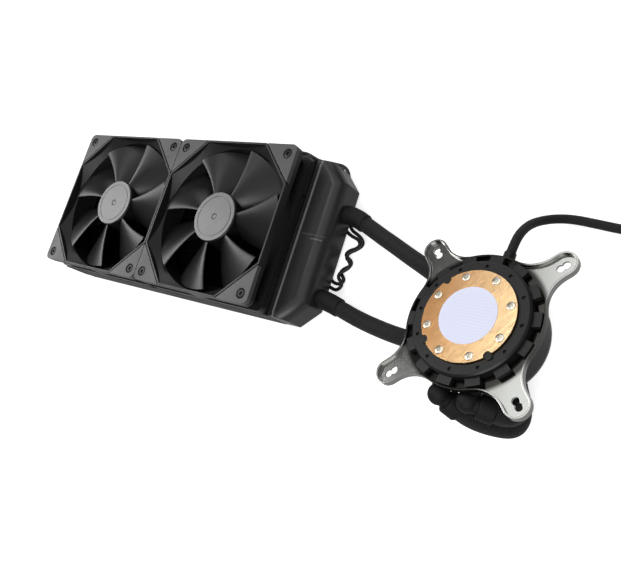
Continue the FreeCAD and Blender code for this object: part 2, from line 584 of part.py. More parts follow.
def pump_block():
    """Moulded block: bayonet lugs, chambers for the wheel and the rotor, ports and cable way."""
    outer = revolved("block_outer", [
        ("0", "-block_depth"), ("block_radius", "-block_depth"), ("block_radius", "-ledge_bottom"),
        ("ledge_radius", "-ledge_bottom"), ("ledge_radius", "-ledge_top"),
        ("block_radius", "-ledge_top"), ("block_radius", "-collar_top - collar_chamfer"),
        ("collar_radius", "-collar_top"), ("plate_radius + 0.3", "-collar_top"),
        ("plate_radius + 0.3", "-plate_depth - 0.1"), ("0", "-plate_depth - 0.1")])
    lug = box("lug_bar", "lug_outer + 2", "lug_width", "lug_bottom - lug_top",
              ("0", "-lug_width / 2", "-lug_bottom"))
    lug_ring = ring("lug_ring", "lug_outer", "block_radius - 1", "lug_bottom - lug_top",
                    ("0", "0", "-lug_bottom"))
    lugs = [common(f"lug_{i + 1}", copy, lug_ring) for i, copy in enumerate(
        turned_copies("lug_spoke", lug, int(size("lug_count")), size("lug_phase")))]
    tabs = [cylinder(f"tab_{i}", "tab_radius", "plate_depth - 0.5",
                     (f"tab_ring * {cos(radians(a)):.6f}", f"tab_ring * {sin(radians(a)):.6f}",
                      "-plate_depth - 0.1")) for i, a in enumerate(TAB_ANGLES)]
    bosses = [cylinder(f"port_boss_{i}", "port_boss", "port_front - block_radius + 6",
                       (side, "-block_radius + 6", "-port_depth"), TOWARDS_FRONT)
              for i, side in enumerate(("outlet_side", "inlet_side"))]
    can = cylinder("can_wall_end", "can_radius + can_wall", "can_end - block_depth + 1",
                   ("0", "0", "-can_end"))
    gland_boss = cylinder("gland_boss", "gland_radius + 0.6", "port_front - block_radius + 6",
                          ("gland_side", "block_radius - 6", "-gland_depth"), TOWARDS_BACK)
    mass = fuse("block_mass", outer, can, gland_boss, *lugs, *tabs, *bosses)
    cavities = [
        cylinder("plate_chamber", "chamber_radius", "chamber_floor + 1", ("0", "0", "-chamber_floor")),
        cylinder("volute", "volute_radius", "volute_floor", ("0", "0", "-volute_floor")),
        cylinder("rotor_can", "can_radius", "block_depth - 1", ("0", "0", "-block_depth + 0.1")),
        ring("coil_pocket", "pocket_outer", "can_radius + can_wall", "block_depth - pocket_top",
             ("0", "0", "-block_depth")),
        cylinder("pin_hole", "pin_radius + 0.02", "5", ("0", "0", "-pin_end")),
        ring("seal_groove", "seal_ring + seal_radius", "seal_ring - seal_radius", "2 * seal_radius",
             ("0", "0", "-plate_depth - 0.1 - seal_radius * 1.9")),
        cylinder("outlet_bore", "port_bore", "port_front - volute_radius + 6",
                 ("outlet_side", "-volute_radius + 6", "-port_depth"), TOWARDS_FRONT),
        cylinder("inlet_bore", "port_bore", "port_front - 13.5",
                 ("inlet_side", "-13.5", "-port_depth"), TOWARDS_FRONT),
        cylinder("inlet_rise", "2.4", "port_depth - 4", ("inlet_side", "-15.9", "-port_depth")),
        cylinder("cable_way", "cable_radius + 0.1", "port_front - 26",
                 ("gland_side", "26", "-gland_depth"), TOWARDS_BACK),
        cylinder("cable_drop", "2", "block_depth - gland_depth",
                 ("gland_side", "27.8", "-block_depth"))]
    cavities += [cylinder(f"screw_well_{i}", "plate_screw_radius + 0.05", "plate_screw_length + 1",
                          (x, y, "-plate_screw_length - 0.5"))
                 for i, (x, y) in enumerate(polar_points(int(size("plate_screws")),
                                                         "plate_screw_ring", SCREW_PHASE))]
    cavities += [cylinder(f"dimple_{i}", "dimple_radius", "1.5", (x, y, "-collar_top - 1.2"))
                 for i, (x, y) in enumerate(polar_points(int(size("dimple_count")), "dimple_ring"))]
    pump_node(cut("pump_housing", mass, *cavities), "pump_housing")


def pump_cap():
    shell = cylinder("cap_shell", "block_radius", "cap_depth - block_depth", ("0", "0", "-cap_depth"))
    low = -size("cap_depth")
    soft = rounded_edges("cap_soft", shell, "cap_round", lambda edge: (
        abs(edge.CenterOfMass.z - low) < 1e-3 and not upright(edge)))
    hollow = cylinder("cap_hollow", "cap_inner", "cap_depth - block_depth - cap_floor",
                      ("0", "0", "-cap_depth + cap_floor"))
    pump_node(cut("pump_cap", soft, hollow), "pump_cap")


def cold_plate():
    """Copper disc with a ring of counterbored screws, edge notches and fine fins behind."""
    body = doc.addObject("PartDesign::Body", "plate_body")
    plane = [item for item in body.Origin.OriginFeatures if item.Role == "XY_Plane"][0]

    def circle(name, radius, at=None):
        sketch = body.newObject("Sketcher::SketchObject", name)
        sketch.AttachmentSupport = [(plane, "")]
        sketch.MapMode = "FlatFace"
        start = V(size(at), 0, 0) if at else V(0, 0, 0)
        sketch.addGeometry(Part.Circle(start, Z_AXIS, size(radius)), False)
        bind(sketch, f"Constraints[{sketch.addConstraint(Sketcher.Constraint('Radius', 0, size(radius)))}]",
             radius)
        if at:
            sketch.addConstraint(Sketcher.Constraint("PointOnObject", 0, 3, -1))
            index = sketch.addConstraint(Sketcher.Constraint("DistanceX", -1, 1, 0, 3, size(at)))
            bind(sketch, f"Constraints[{index}]", at)
        else:
            sketch.addConstraint(Sketcher.Constraint("Coincident", 0, 3, -1, 1))
        return sketch

    pad = body.newObject("PartDesign::Pad", "plate_pad")
    pad.Profile = circle("plate_circle", "plate_radius")
    bind(pad, "Length", "plate_depth")
    pad.Reversed = True
    doc.recompute()
    for name, radius, depth in (("plate_holes", "plate_screw_radius", "plate_depth + 1"),
                                ("plate_seats", "plate_screw_head", "head_depth")):
        pocket = body.newObject("PartDesign::Pocket", name)
        pocket.Profile = circle(name + "_circle", radius, "plate_screw_ring")
        bind(pocket, "Length", depth)
        pocket.Reversed = False
        doc.recompute()
        pattern = body.newObject("PartDesign::PolarPattern", name + "_round")
        pattern.Originals = [pocket]
        pattern.Axis = (pocket.Profile[0], ["N_Axis"])
        pattern.Angle = 360
        bind(pattern, "Occurrences", "plate_screws")
        body.Tip = pattern
        doc.recompute()
    body.Placement.Rotation = about_z(SCREW_PHASE)
    notches = [cylinder(f"notch_{i}", "tab_radius + 0.25", "plate_depth + 2",
                        (f"tab_ring * {cos(radians(a)):.6f}", f"tab_ring * {sin(radians(a)):.6f}",
                         "-plate_depth - 1")) for i, a in enumerate(TAB_ANGLES)]
    count = int(size("microfin_count"))
    fins = [box(f"microfin_{i}", "0.9", "microfin_side", "microfin_height + 0.5",
                (f"microfin_side * {(i + 0.5) / count - 0.5:.6f} - 0.45", "-microfin_side / 2",
                 "-plate_depth - microfin_height")) for i in range(count)]
    pump_node(cut("plate_notched", fuse("plate_finned", body, *fins), *notches), "cold_plate")
    screws = []
    for i, (x, y) in enumerate(polar_points(int(size("plate_screws")), "plate_screw_ring", SCREW_PHASE)):
        head = cylinder(f"plate_head_{i}", "plate_screw_head - 0.1", "head_depth - 0.05",
                        (x, y, "-head_depth + 0.05"))
        shank = cylinder(f"plate_shank_{i}", "plate_screw_radius - 0.05", "plate_screw_length",
                         (x, y, "-plate_screw_length"))
        recess = cylinder(f"plate_recess_{i}", "0.9", "0.8", (x, y, "-0.6"))
        screws.append(cut(f"plate_screw_{i}", fuse(f"plate_bolt_{i}", head, shank), recess))
    pump_node(group("plate_screws", screws), "cold_plate_screws")
    seal = revolved("plate_seal", soft_ring("seal_ring", "seal_radius - 0.05"))
    lifted = group("plate_seal_lift", [seal])
    bind(seal, "Placement.Base.z", "-plate_depth - 0.1 - seal_radius * 0.9")
    pump_node(lifted, "cold_plate_seal")
    spread = cylinder("compound_disc", "compound_radius", "compound_thick")
    pump_node(group("compound_layer", [spread]), "thermal_compound")


def pump_wheel():
    """Curved-vane wheel on a fixed pin, with the ring magnet that drives it below."""
    jet = ring("jet_disc", "chamber_radius - 0.1", "wheel_hub + 2", "jet_thick",
               ("0", "0", "-chamber_floor"))
    slot = box("jet_slot_box", "microfin_side - 4", "jet_slot", "jet_thick + 2",
               ("-microfin_side / 2 + 2", "8", "-chamber_floor - 1"))
    pump_node(cut("jet_plate", jet, slot), "jet_plate")
    floor = -size("volute_floor") + 0.5
    top, plate = -size("wheel_top"), size("wheel_plate")
    radius, hub = size("wheel_radius"), size("wheel_hub")
    hole = "pin_radius + running_gap"
    core = revolved("wheel_core", [
        (hole, "-rotor_end"), ("wheel_hub", "-rotor_end"), ("wheel_hub", "-volute_floor + 0.5"),
        ("wheel_radius", "-volute_floor + 0.5"), ("wheel_radius", "-volute_floor + 0.5 + wheel_plate"),
        ("wheel_hub", "-volute_floor + 0.5 + wheel_plate"), ("wheel_hub", "-wheel_top"),
        (hole, "-wheel_top")])
    middle = V(radius * 0.62, radius * 0.22, 0)
    inner = [V(hub - 0.4, -0.45, 0), middle, V(radius - 0.3, radius * 0.12, 0)]
    outer = [V(hub - 0.4, 0.45, 0), middle + V(-0.25, 0.95, 0), V(radius - 0.7, radius * 0.12 + 0.9, 0)]
    edges = [Part.Arc(*inner).toShape(), Part.LineSegment(inner[2], outer[2]).toShape(),
             Part.Arc(outer[2], outer[1], outer[0]).toShape(),
             Part.LineSegment(outer[0], inner[0]).toShape()]
    vane = Part.Face(Part.Wire(edges)).extrude(V(0, 0, top - floor - plate + 0.2))
    vane.translate(V(0, 0, floor + plate - 0.2))
    count = int(size("vane_count"))
    vanes = [feature(f"vane_{i}", vane.rotated(V(0, 0, 0), Z_AXIS, 360.0 * i / count))
             for i in range(count)]
    pump_node(fuse("impeller", core, *vanes), "impeller")
    magnet = ring("rotor_magnet_ring", "rotor_magnet", "wheel_hub + 0.02",
                  "rotor_end - volute_floor - 0.2", ("0", "0", "-rotor_end"))
    pump_node(magnet, "impeller_magnet")
    pin = cylinder("wheel_pin", "pin_radius", "pin_end - pin_top", ("0", "0", "-pin_end"))
    pump_node(group("wheel_pin_set", [pin]), "impeller_shaft")


def pump_drive():
    yoke = ring("yoke", "coil_outer", "coil_outer - 2.4", "coil_end - pocket_top - 1.2",
                ("0", "0", "-coil_end + 0.5"))
    height = "coil_end - pocket_top - 0.2"
    pole = box("drive_pole", "coil_outer - coil_inner - 1", "3.4", "coil_end - pocket_top - 1.2",
               ("coil_inner + 0.15", "-1.7", "-coil_end + 0.5"))
    coil = box("drive_coil", "coil_outer - coil_core - 3", "7.6", height, ("coil_core", "-3.8",
                                                                         "-coil_end"))
    count = int(size("coil_count"))
    parts = turned_copies("drive_pole_at", pole, count) + turned_copies("drive_coil_at", coil, count)
    pump_node(fuse("drive_windings", yoke, *parts), "pump_stator")
    disc = cylinder("control_disc", "control_radius", "control_thick",
                    ("0", "0", "-control_top - control_thick"))
    chips = [box(f"control_chip_{i}", length, width, "1.1",
                 (x, y, "-control_top - control_thick - 1.05"))
             for i, (x, y, length, width) in enumerate((
                 ("-6", "-5", "8", "8"), ("9", "6", "5", "3"), ("-17", "8", "4", "6"),
                 ("6", "-17", "7", "4")))]
    pump_node(fuse("control_board", disc, *chips), "pump_circuit_board")


def elbow_frames():
    """Side, dip and swing of the two swivel elbows, in the pump's own directions."""
    frames = []
    for side, dip, swing in (("outlet_side", size("outlet_dip"), 0.0),
                             ("inlet_side", size("inlet_dip"), size("inlet_swing"))):
        down, out = radians(dip), radians(swing)
        heading = V(cos(down) * cos(out), -sin(out) * cos(down), -sin(down))
        corner = V(size(side), -size("elbow_corner"), -size("port_depth"))
        frames.append((side, corner, heading))
    return frames


def swivel_elbows():
    """Each elbow turns from its port to a sleeve and barb; a round collar holds the hose."""
    seals, collars = [], []
    for label, (side, corner, heading) in zip(("outlet", "inlet"), elbow_frames()):
        turn = FreeCAD.Rotation(Z_AXIS, heading)
        stem = revolved(label + "_stem", [
            ("0", "0"), ("elbow_neck", "0"), ("elbow_neck", "elbow_corner - port_front - elbow_flange"),
            ("port_boss", "elbow_corner - port_front - elbow_flange"),
            ("port_boss", "elbow_corner - port_front"),
            ("port_bore - 0.1", "elbow_corner - port_front"),
            ("port_bore - 0.1", "elbow_corner - port_front + 1.8"),
            ("port_bore - 0.9", "elbow_corner - port_front + 1.8"),
            ("port_bore - 0.9", "elbow_corner - port_front + 3"),
            ("port_bore - 0.1", "elbow_corner - port_front + 3"),
            ("port_bore - 0.1", "elbow_corner - port_front + 5"),
            ("0", "elbow_corner - port_front + 5")])
        stem.Placement.Rotation = TOWARDS_BACK
        ball = primitive("Sphere", label + "_ball", ("0", "0", "0"), None, Radius="elbow_round")
        keep = box(label + "_keep", "3 * elbow_round",
                   "1.5 * elbow_round + elbow_corner - port_front", "3 * elbow_round",
                   ("-1.5 * elbow_round", "-1.5 * elbow_round", "-1.5 * elbow_round"))
        knee = common(label + "_knee", ball, keep)
        sleeve = revolved(label + "_sleeve", [
            ("0", "0"), ("elbow_sleeve", "0"), ("elbow_sleeve", "elbow_sleeve_end"),
            ("elbow_barb", "elbow_sleeve_end"), ("elbow_barb", "elbow_end"), ("0", "elbow_end")])
        way_in = cylinder(label + "_way_in", "elbow_bore", "elbow_corner - port_front + 7",
                          ("0", "-1", "0"), TOWARDS_BACK)
        way_out = cylinder(label + "_way_out", "elbow_bore", "elbow_end + 1")
        sleeve.Placement.Rotation = turn
        way_out.Placement.Rotation = turn
        elbow = cut(label + "_elbow_body", fuse(label + "_elbow_mass", stem, knee, sleeve), way_in, way_out)
        moved = group(label + "_elbow_set", [elbow])
        for axis, formula in zip("xyz", (side, "-elbow_corner", "-port_depth")):
            bind(elbow, "Placement.Base." + axis, formula)
        pump_node(moved, label + "_elbow")
        seal = revolved(label + "_seal", soft_ring("port_bore - 0.47", "0.42"))
        seal.Placement.Rotation = TOWARDS_BACK
        for axis, formula in zip("xyz", (side, "-port_front + 2.4", "-port_depth")):
            bind(seal, "Placement.Base." + axis, formula)
        seals.append(seal)
        collar = revolved(label + "_collar", [
            ("elbow_barb + 0.02", "elbow_sleeve_end"), ("hose_collar - 0.8", "elbow_sleeve_end"),
            ("hose_collar", "elbow_sleeve_end + 0.8"), ("hose_collar", "elbow_end - 1.2"),
            ("hose_collar - 0.8", "elbow_end"), ("elbow_barb + 0.02", "elbow_end")])
        collar.Placement.Rotation = turn
        for axis, formula in zip("xyz", (side, "-elbow_corner", "-port_depth")):
            bind(collar, "Placement.Base." + axis, formula)
        collars.append(collar)
    pump_node(group("port_seals", seals), "elbow_seals")
    pump_node(group("pump_collars", collars), "pump_collars")


def bracket_wire(inset):
    """Ring outline flowing into four arms; the inset draws it again further in."""
    neck = size("bracket_outer") - inset
    tip = size("arm_radius") - inset
    flare = size("arm_flare") + inset
    reach = size("arm_reach")
    across = tip + flare
    along = sqrt((neck + flare) ** 2 - across ** 2)
    edges = []
    previous = None
    for quarter in range(4):
        turn = about_z(45 + 90 * quarter)

        def at(x, y):
            return turn.multVec(V(x, y, 0))

        touch = neck / (neck + flare)
        left_low = at(along * touch, -across * touch)
        left_high = at(along, -tip)
        right_high = at(along, tip)
        right_low = at(along * touch, across * touch)
        sweep_start = atan2(across - across * touch, along * touch - along)
        middle = (sweep_start + pi / 2) / 2
        left_mid = at(along + flare * cos(middle), flare * sin(middle) - across)
        right_mid = at(along + flare * cos(middle), across - flare * sin(middle))
        if previous:
            edges.append(Part.Arc(previous, about_z(90 * quarter).multVec(V(neck, 0, 0)),
                                  left_low).toShape())
        else:
            first = left_low
        edges.append(Part.Arc(left_low, left_mid, left_high).toShape())
        edges.append(Part.LineSegment(left_high, at(reach, -tip)).toShape())
        edges.append(Part.Arc(at(reach, -tip), at(reach + tip, 0), at(reach, tip)).toShape())
        edges.append(Part.LineSegment(at(reach, tip), right_high).toShape())
        edges.append(Part.Arc(right_high, right_mid, right_low).toShape())
        previous = right_low
    edges.append(Part.Arc(previous, V(neck, 0, 0), first).toShape())
    return Part.Wire(Part.sortEdges(edges)[0])


def bracket():
    """Pressed plate with an upturned rim and figure-of-eight slots for two hole spacings."""
    thick, rim = size("bracket_thick"), size("bracket_rim_height")
    low = -size("bracket_top") - thick
    whole = Part.Face(bracket_wire(0.0)).extrude(V(0, 0, thick + rim))
    tray = Part.Face(bracket_wire(size("bracket_rim"))).extrude(V(0, 0, rim + 1))
    tray.translate(V(0, 0, thick))
    shape = whole.cut(tray)
    shape = shape.cut(Part.makeCylinder(size("bracket_inner"), thick + rim + 2, V(0, 0, -1)))
    offset, spread = size("slot_offset"), size("slot_spread") / 2
    for quarter in range(4):
        turn = about_z(90 * quarter)
        for place in (offset - spread, offset + spread):
            hole = Part.makeCylinder(size("slot_radius"), thick + 2, turn.multVec(V(place, place, -1)))
            shape = shape.cut(hole)
    plate = feature("bracket", shape)
    plate.Placement = pump_placement().multiply(FreeCAD.Placement(V(0, 0, low), FreeCAD.Rotation()))
    node(plate, "mounting_bracket")


def cable_gland():
    sleeve = revolved("gland", [
        ("cable_radius + 0.1", "0"), ("gland_radius", "0"), ("gland_radius", "3"),
        ("gland_radius - 0.5", "3.4"), ("gland_tip", "gland_end - port_front"),
        ("cable_radius + 0.1", "gland_end - port_front")])
    sleeve.Placement.Rotation = TOWARDS_BACK
    for axis, formula in zip("xyz", ("gland_side", "port_front", "-gland_depth")):
        bind(sleeve, "Placement.Base." + axis, formula)
    pump_node(group("gland_set", [sleeve]), "cable_gland")


# Cords: straight runs joined by the widest tangent arcs that the runs allow

def tube(name, points, radius):
    edges, radii = [], []
    start = points[0]
    for before, corner, after in zip(points, points[1:], points[2:]):
        arrive, leave = corner - before, after - corner
        turn = arrive.getAngle(leave)
        if turn < 0.005:
            continue
        trim = 0.45 * min(arrive.Length, leave.Length)
        radii.append(trim / tan(turn / 2))
        arc_start = corner - V(arrive).normalize() * trim
        arc_end = corner + V(leave).normalize() * trim
        inward = (V(leave).normalize() - V(arrive).normalize()).normalize()
        centre_line = radii[-1] / cos(turn / 2)
        arc_middle = corner + inward * (centre_line - radii[-1])
        edges.append(Part.LineSegment(start, arc_start).toShape())
        edges.append(Part.Arc(arc_start, arc_middle, arc_end).toShape())
        start = arc_end
    edges.append(Part.LineSegment(start, points[-1]).toShape())
    path = Part.Wire(edges)
    profile = Part.Wire(Part.makeCircle(radius, points[0], points[1] - points[0]))
    solid = path.makePipeShell([profile], True, False)
    expected = pi * radius ** 2 * path.Length
    print(f"{name}: length {path.Length:.1f} mm, volume ratio {solid.Volume / expected:.4f}, bend radii",
          " ".join(f"{r:.1f}" for r in radii))
    node(feature(name, solid), name)


def hose_points():
    """Both hoses leave the tank level, lie on the floor, pass under the pump and loop up to it."""
    place = pump_placement()
    ends = []
    for side, corner, heading in elbow_frames():
        mouth = place.multVec(corner + heading * (size("elbow_end") + 0.05))
        ends.append((mouth, place.Rotation.multVec(heading)))
    mouth_x = size("port_end") + size("spigot_reach")
    upper_start = V(mouth_x, size("spigot_upper"), size("spigot_level"))
    lower_start = V(mouth_x, size("spigot_lower"), size("spigot_level"))
    floor = size("hose_radius") + 0.3
    upper = [upper_start, upper_start + X_AXIS * 9, V(184, 16.5, floor + 1), V(200, 7.5, floor),
             V(218, -0.8, floor), V(238, -10.5, floor + 0.6), V(257, -21.5, floor + 1.6),
             V(276, -34, floor + 3), V(294, -48.5, floor + 6), V(300.2, -63.8, floor + 11.5),
             V(308.7, -75.3, floor + 17.9)]
    upper += [ends[0][0] + ends[0][1] * 8, ends[0][0]]
    lower = [lower_start, lower_start + X_AXIS * 9, V(184, -45.2, floor + 0.6), V(199, -48, floor),
             V(214, -50.3, floor), V(232, -52.5, floor), V(250, -56, floor), V(268, -60, floor),
             V(284, -63.5, floor), V(297, -66.6, floor + 0.1), V(304.1, -76, floor + 0.9),
             V(304.8, -85.3, floor + 5.3), V(300.9, -89.1, floor + 13.5)]
    lower += [ends[1][0] + ends[1][1] * 8.5, ends[1][0]]
    return upper, lower


def pump_cable():
    place = pump_placement()
    mouth = place.multVec(V(size("gland_side"), size("gland_end"), -size("gland_depth")))
    heading = place.Rotation.multVec(Y_AXIS)
    low = size("cable_radius")
    ring_radius = size("coil_radius")
    centre = V(362, 39 + ring_radius, 0)
    bottom = V(centre.x, centre.y - ring_radius, low)
    points = [mouth, mouth + heading * 10, V(284.4, 27.5, 24.5), V(286.6, 35, 14.6),
              V(293.2, 40.6, 6.6), V(303, 42.6, low + 0.5), V(316, 41.4, low), V(332, 39.4, low),
              V(347, 39, low), bottom]
    tube("pump_cable", points, low)
    profile = [V(ring_radius - low, 0, 0), V(ring_radius + low, 0, 0)]

    def ring_arc(level, start, sweep):
        centre_line = V(ring_radius, 0, level)
        section = Part.Face(Part.Wire(Part.makeCircle(low, centre_line, Y_AXIS)))
        band = section.revolve(V(0, 0, 0), Z_AXIS, sweep)
        return band.rotated(V(0, 0, 0), Z_AXIS, start)

    lower = ring_arc(low, -90, 316)
    upper = ring_arc(3 * low + 0.05, 226, 224)
    rise = Part.makeCylinder(low, 2 * low, V(ring_radius * cos(radians(226)),
                                             ring_radius * sin(radians(226)), low))
    turns = Part.Shape(lower.fuse(upper).fuse(rise))
    coil = feature("cable_coil", turns)
    coil.Placement.Base = V(centre.x, centre.y, 0)
    node(coil, "pump_cable_coil")
    plug = box("cable_plug", "plug_length", "plug_width", "plug_height", ("0", "0", "0"))
    key = box("cable_plug_key", "plug_length * 0.5", "plug_width * 0.4", "1",
              ("1", "plug_width * 0.3", "plug_height"))
    way = [box(f"cable_plug_way_{i}", "6", "1.4", "1.6",
               ("-1", f"plug_width * {0.14 + 0.24 * i:.2f} - 0.2", "plug_height / 2 - 0.8"))
           for i in range(4)]
    shell = cut("cable_plug_shell", fuse("cable_plug_mass", plug, key), *way)
    shell.Placement.Base = V(centre.x - size("plug_length"),
                             centre.y + ring_radius - size("plug_width") / 2,
                             4 * low - size("plug_height") + 1.6)
    node(shell, "pump_cable_plug")


def fan_leads():
    """Each lead drops behind the radiator, runs under the port tank and back round a tucked bunch."""
    radius = size("lead_radius")
    back = size("rad_half")
    routes = {
        "fan2_lead": [
            V(98, back, 31), V(98, back + 4, 30.8), V(100.6, back + 5.6, 26), V(105, back + 5.4, 18),
            V(110.6, back + 4.6, 10.6), V(117.4, back + 4.2, 6), V(125.2, back + 4.4, 3),
            V(128.8, back + 0.2, 1.5), V(131, 53, 1.5), V(133.6, 44, 1.5), V(137, 34, 1.5),
            V(140.4, 24.8, 1.5), V(145, 17, 1.5), V(151.6, 13.4, 1.5), V(158, 11.8, 1.5),
            V(161, 8.2, 1.5), V(159, 4.8, 1.5), V(153.4, 2.6, 1.5), V(151.2, -0.8, 1.5),
            V(154.2, -3, 1.5), V(158.2, -5.2, 1.5), V(158.4, -8.6, 1.5), V(154, -11, 1.5),
            V(151.4, -14.2, 1.5), V(154.4, -16.8, 1.5), V(157, -19.8, 1.5), V(154, -23.2, 1.5),
            V(147.4, -22.6, 1.5), V(141.8, -16, 1.5), V(137.6, -5, 1.5), V(134, 7, 1.5),
            V(130.8, 19, 1.5), V(128.4, 31, 1.5), V(126.4, 43, 1.5), V(124.6, 53, 1.5),
            V(123.8, 61, 1.5), V(119.6, 64.9, 1.5), V(111, 66, 1.5), V(101, 66.4, 1.5),
            V(94, 68.4, 1.5), V(86, 68.6, 1.5)],
        "fan1_lead": [
            V(-22, back, 31), V(-22, back + 4, 30.8), V(-20.4, back + 8, 26), V(-17, back + 10.4, 17),
            V(-12.6, back + 12.4, 8.5), V(-5, back + 14.4, 3), V(5, back + 15.6, 1.7),
            V(20, back + 16.6, 1.5), V(40, back + 16, 1.5), V(60, back + 16.8, 1.5),
            V(76, back + 16.5, 1.5), V(86, back + 16, 1.5), V(93, back + 13.4, 1.5),
            V(100.6, back + 10.2, 1.5), V(110, back + 9.4, 1.5), V(118.6, back + 8.2, 1.5),
            V(125.6, back + 7.2, 1.5), V(131.4, back + 2.6, 1.5), V(135, 54, 1.5), V(138.6, 44, 1.5),
            V(142.4, 33, 1.5), V(145.8, 23, 1.5), V(150.4, 17.8, 1.6), V(156.4, 15.2, 3.8),
            V(162.6, 12, 4.2), V(165.4, 7.4, 4.2), V(161, 3.2, 4.2), V(155.4, 0.2, 4.2),
            V(154.2, -3.6, 4.2), V(158, -6, 4.2), V(160.2, -9.4, 4.2), V(157, -12.8, 4.2),
            V(152.8, -15.6, 4.2), V(153, -19.4, 4.2), V(157.2, -21.8, 4.2), V(157.8, -25.2, 4.2),
            V(154, -28, 3), V(149.4, -27.2, 1.6), V(144, -25.4, 1.5), V(138, -21, 1.5), V(133, -13, 1.5),
            V(129, -2, 1.5), V(126.4, 10, 1.5), V(124.2, 22, 1.5), V(122.6, 34, 1.5),
            V(121.4, 46, 1.5), V(120.8, 55, 1.5), V(120.4, 60.8, 1.5), V(115.6, 62.2, 1.5),
            V(106, 62.2, 1.5), V(94, 62, 1.5), V(84, 62.2, 1.5), V(73, 62, 1.5),
            V(66.5, 64, 1.5), V(60, 67.6, 1.5), V(50, 68, 1.5)],
    }
    for label, points in routes.items():
        tube(label, points, radius)
        end, before = points[-1], points[-2]
        name = label + "_plug"
        shell = box(name + "_shell", "lead_plug_length", "lead_plug_width", "lead_plug_height")
        key = box(name + "_key", "lead_plug_length * 0.6", "1.2", "1",
                  ("lead_plug_length * 0.2", "lead_plug_width * 0.3", "lead_plug_height"))
        rail = box(name + "_rail", "lead_plug_length * 0.6", "1.2", "1",
                   ("lead_plug_length * 0.2", "lead_plug_width * 0.6", "lead_plug_height"))
        ways = [box(f"{name}_way_{i}", "5", "1.3", "1.3", ("-1", f"lead_plug_width * {0.11 + 0.22 * i:.2f}",
                                                         "lead_plug_height / 2 - 0.6"))
                for i in range(4)]
        plug = cut(name, fuse(name + "_mass", shell, key, rail), *ways)
        heading = (end - before).normalize()
        turn = FreeCAD.Rotation(X_AXIS, V(heading.x, heading.y, 0))
        corner = turn.multVec(V(0, -size("lead_plug_width") / 2, 0))
        plug.Placement = FreeCAD.Placement(V(end.x, end.y, 0.1) + corner, turn)
        node(plug, label + "_plug")


radiator_core()
folded_fins()
side_plates()
port_tank()
return_tank()
for fan, centre in (("fan1", "-fan_pitch / 2"), ("fan2", "fan_pitch / 2")):
    fan_frame(fan, centre)
    fan_rotor(fan, centre)
    fan_motor(fan, centre)
pump_block()
pump_cap()
cold_plate()
pump_wheel()
pump_drive()
swivel_elbows()
bracket()
cable_gland()
upper_route, lower_route = hose_points()
tube("upper_hose", upper_route, size("hose_radius"))
tube("lower_hose", lower_route, size("hose_radius"))
pump_cable()
fan_leads()
doc.recompute()

for obj in doc.Objects:
    if "Invalid" in obj.State or "Error" in obj.State:
        raise RuntimeError(f"{obj.Label} did not build: {obj.State}")
for piece in pieces:
    if piece.Shape.isNull() or not piece.Shape.isValid() or not piece.Shape.Solids:
        raise RuntimeError(f"{piece.Label} has no valid shape")

os.makedirs("parts", exist_ok=True)
for piece in pieces:
    piece.Shape.exportStep(f"parts/{piece.Label}.step")
print(len(pieces), "pieces written")
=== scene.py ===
import json
from math import atan2, cos, pi, radians, sin, sqrt

import bmesh
import bpy
from mathutils import Matrix, Vector
from mathutils.bvhtree import BVHTree


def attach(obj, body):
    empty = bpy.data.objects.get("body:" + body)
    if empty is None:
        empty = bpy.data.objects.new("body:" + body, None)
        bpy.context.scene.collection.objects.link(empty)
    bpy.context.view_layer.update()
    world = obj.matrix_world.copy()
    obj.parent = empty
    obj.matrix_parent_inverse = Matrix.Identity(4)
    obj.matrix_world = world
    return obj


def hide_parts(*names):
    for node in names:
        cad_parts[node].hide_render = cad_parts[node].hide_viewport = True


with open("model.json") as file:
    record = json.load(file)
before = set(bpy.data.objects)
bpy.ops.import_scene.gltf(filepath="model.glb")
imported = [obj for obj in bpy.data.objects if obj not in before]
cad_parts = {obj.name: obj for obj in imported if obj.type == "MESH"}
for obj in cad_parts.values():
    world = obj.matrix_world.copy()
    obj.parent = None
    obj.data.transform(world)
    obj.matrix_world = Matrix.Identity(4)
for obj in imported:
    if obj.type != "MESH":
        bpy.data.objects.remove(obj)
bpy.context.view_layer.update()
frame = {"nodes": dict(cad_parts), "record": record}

nodes = frame["nodes"]
mm = 0.001
print("frame loaded:", len(nodes), "nodes")

# where the pump stands: its plate faces up, a little tilted
pump = {
    "plateCentre": (278.8, -37.8, 58.0),
    "across": (0.99357, 0.0, 0.1132),
    "along": (0.017318, 0.98823, -0.151999),
    "outward": (-0.111868, 0.152984, 0.981877),
}
pumpMatrix = Matrix([[pump[side][i] for side in ("across", "along", "outward")]
                     + [pump["plateCentre"][i] * mm] for i in range(3)] + [(0, 0, 0, 1)])

# small helpers; angles in degrees, the weld in metres, the rooms as shares of what was there
soften = {"weld": 2e-6, "flatAngle": 0.7, "sharpAngle": 38, "runBend": 35, "segments": 2,
          "profile": 0.6, "areaRoom": 1.0002, "strayRoom": 1.2}


def newObject(name, data):
    made = bpy.data.objects.new(name, data)
    bpy.context.scene.collection.objects.link(made)
    return made


def settledMesh(holder):  # what a curve or modifiers make of an object, which then goes
    bpy.context.view_layer.update()
    shape = holder.evaluated_get(bpy.context.evaluated_depsgraph_get())
    mesh = bpy.data.meshes.new_from_object(shape)
    bpy.data.objects.remove(holder)
    return mesh


def addPiece(name, mesh, body, replaced):
    piece = newObject(name, mesh)
    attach(piece, body)
    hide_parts(*([replaced] if isinstance(replaced, str) else replaced))
    return piece


def meshFrom(bm, name, material, smoothAngle=40):
    mesh = bpy.data.meshes.new(name)
    for face in bm.faces:
        face.smooth = True
    for edge in bm.edges:
        edge.smooth = len(edge.link_faces) == 2 and edge.calc_face_angle(0) < radians(smoothAngle)
    bm.to_mesh(mesh)
    bm.free()
    mesh.materials.append(material)
    return mesh


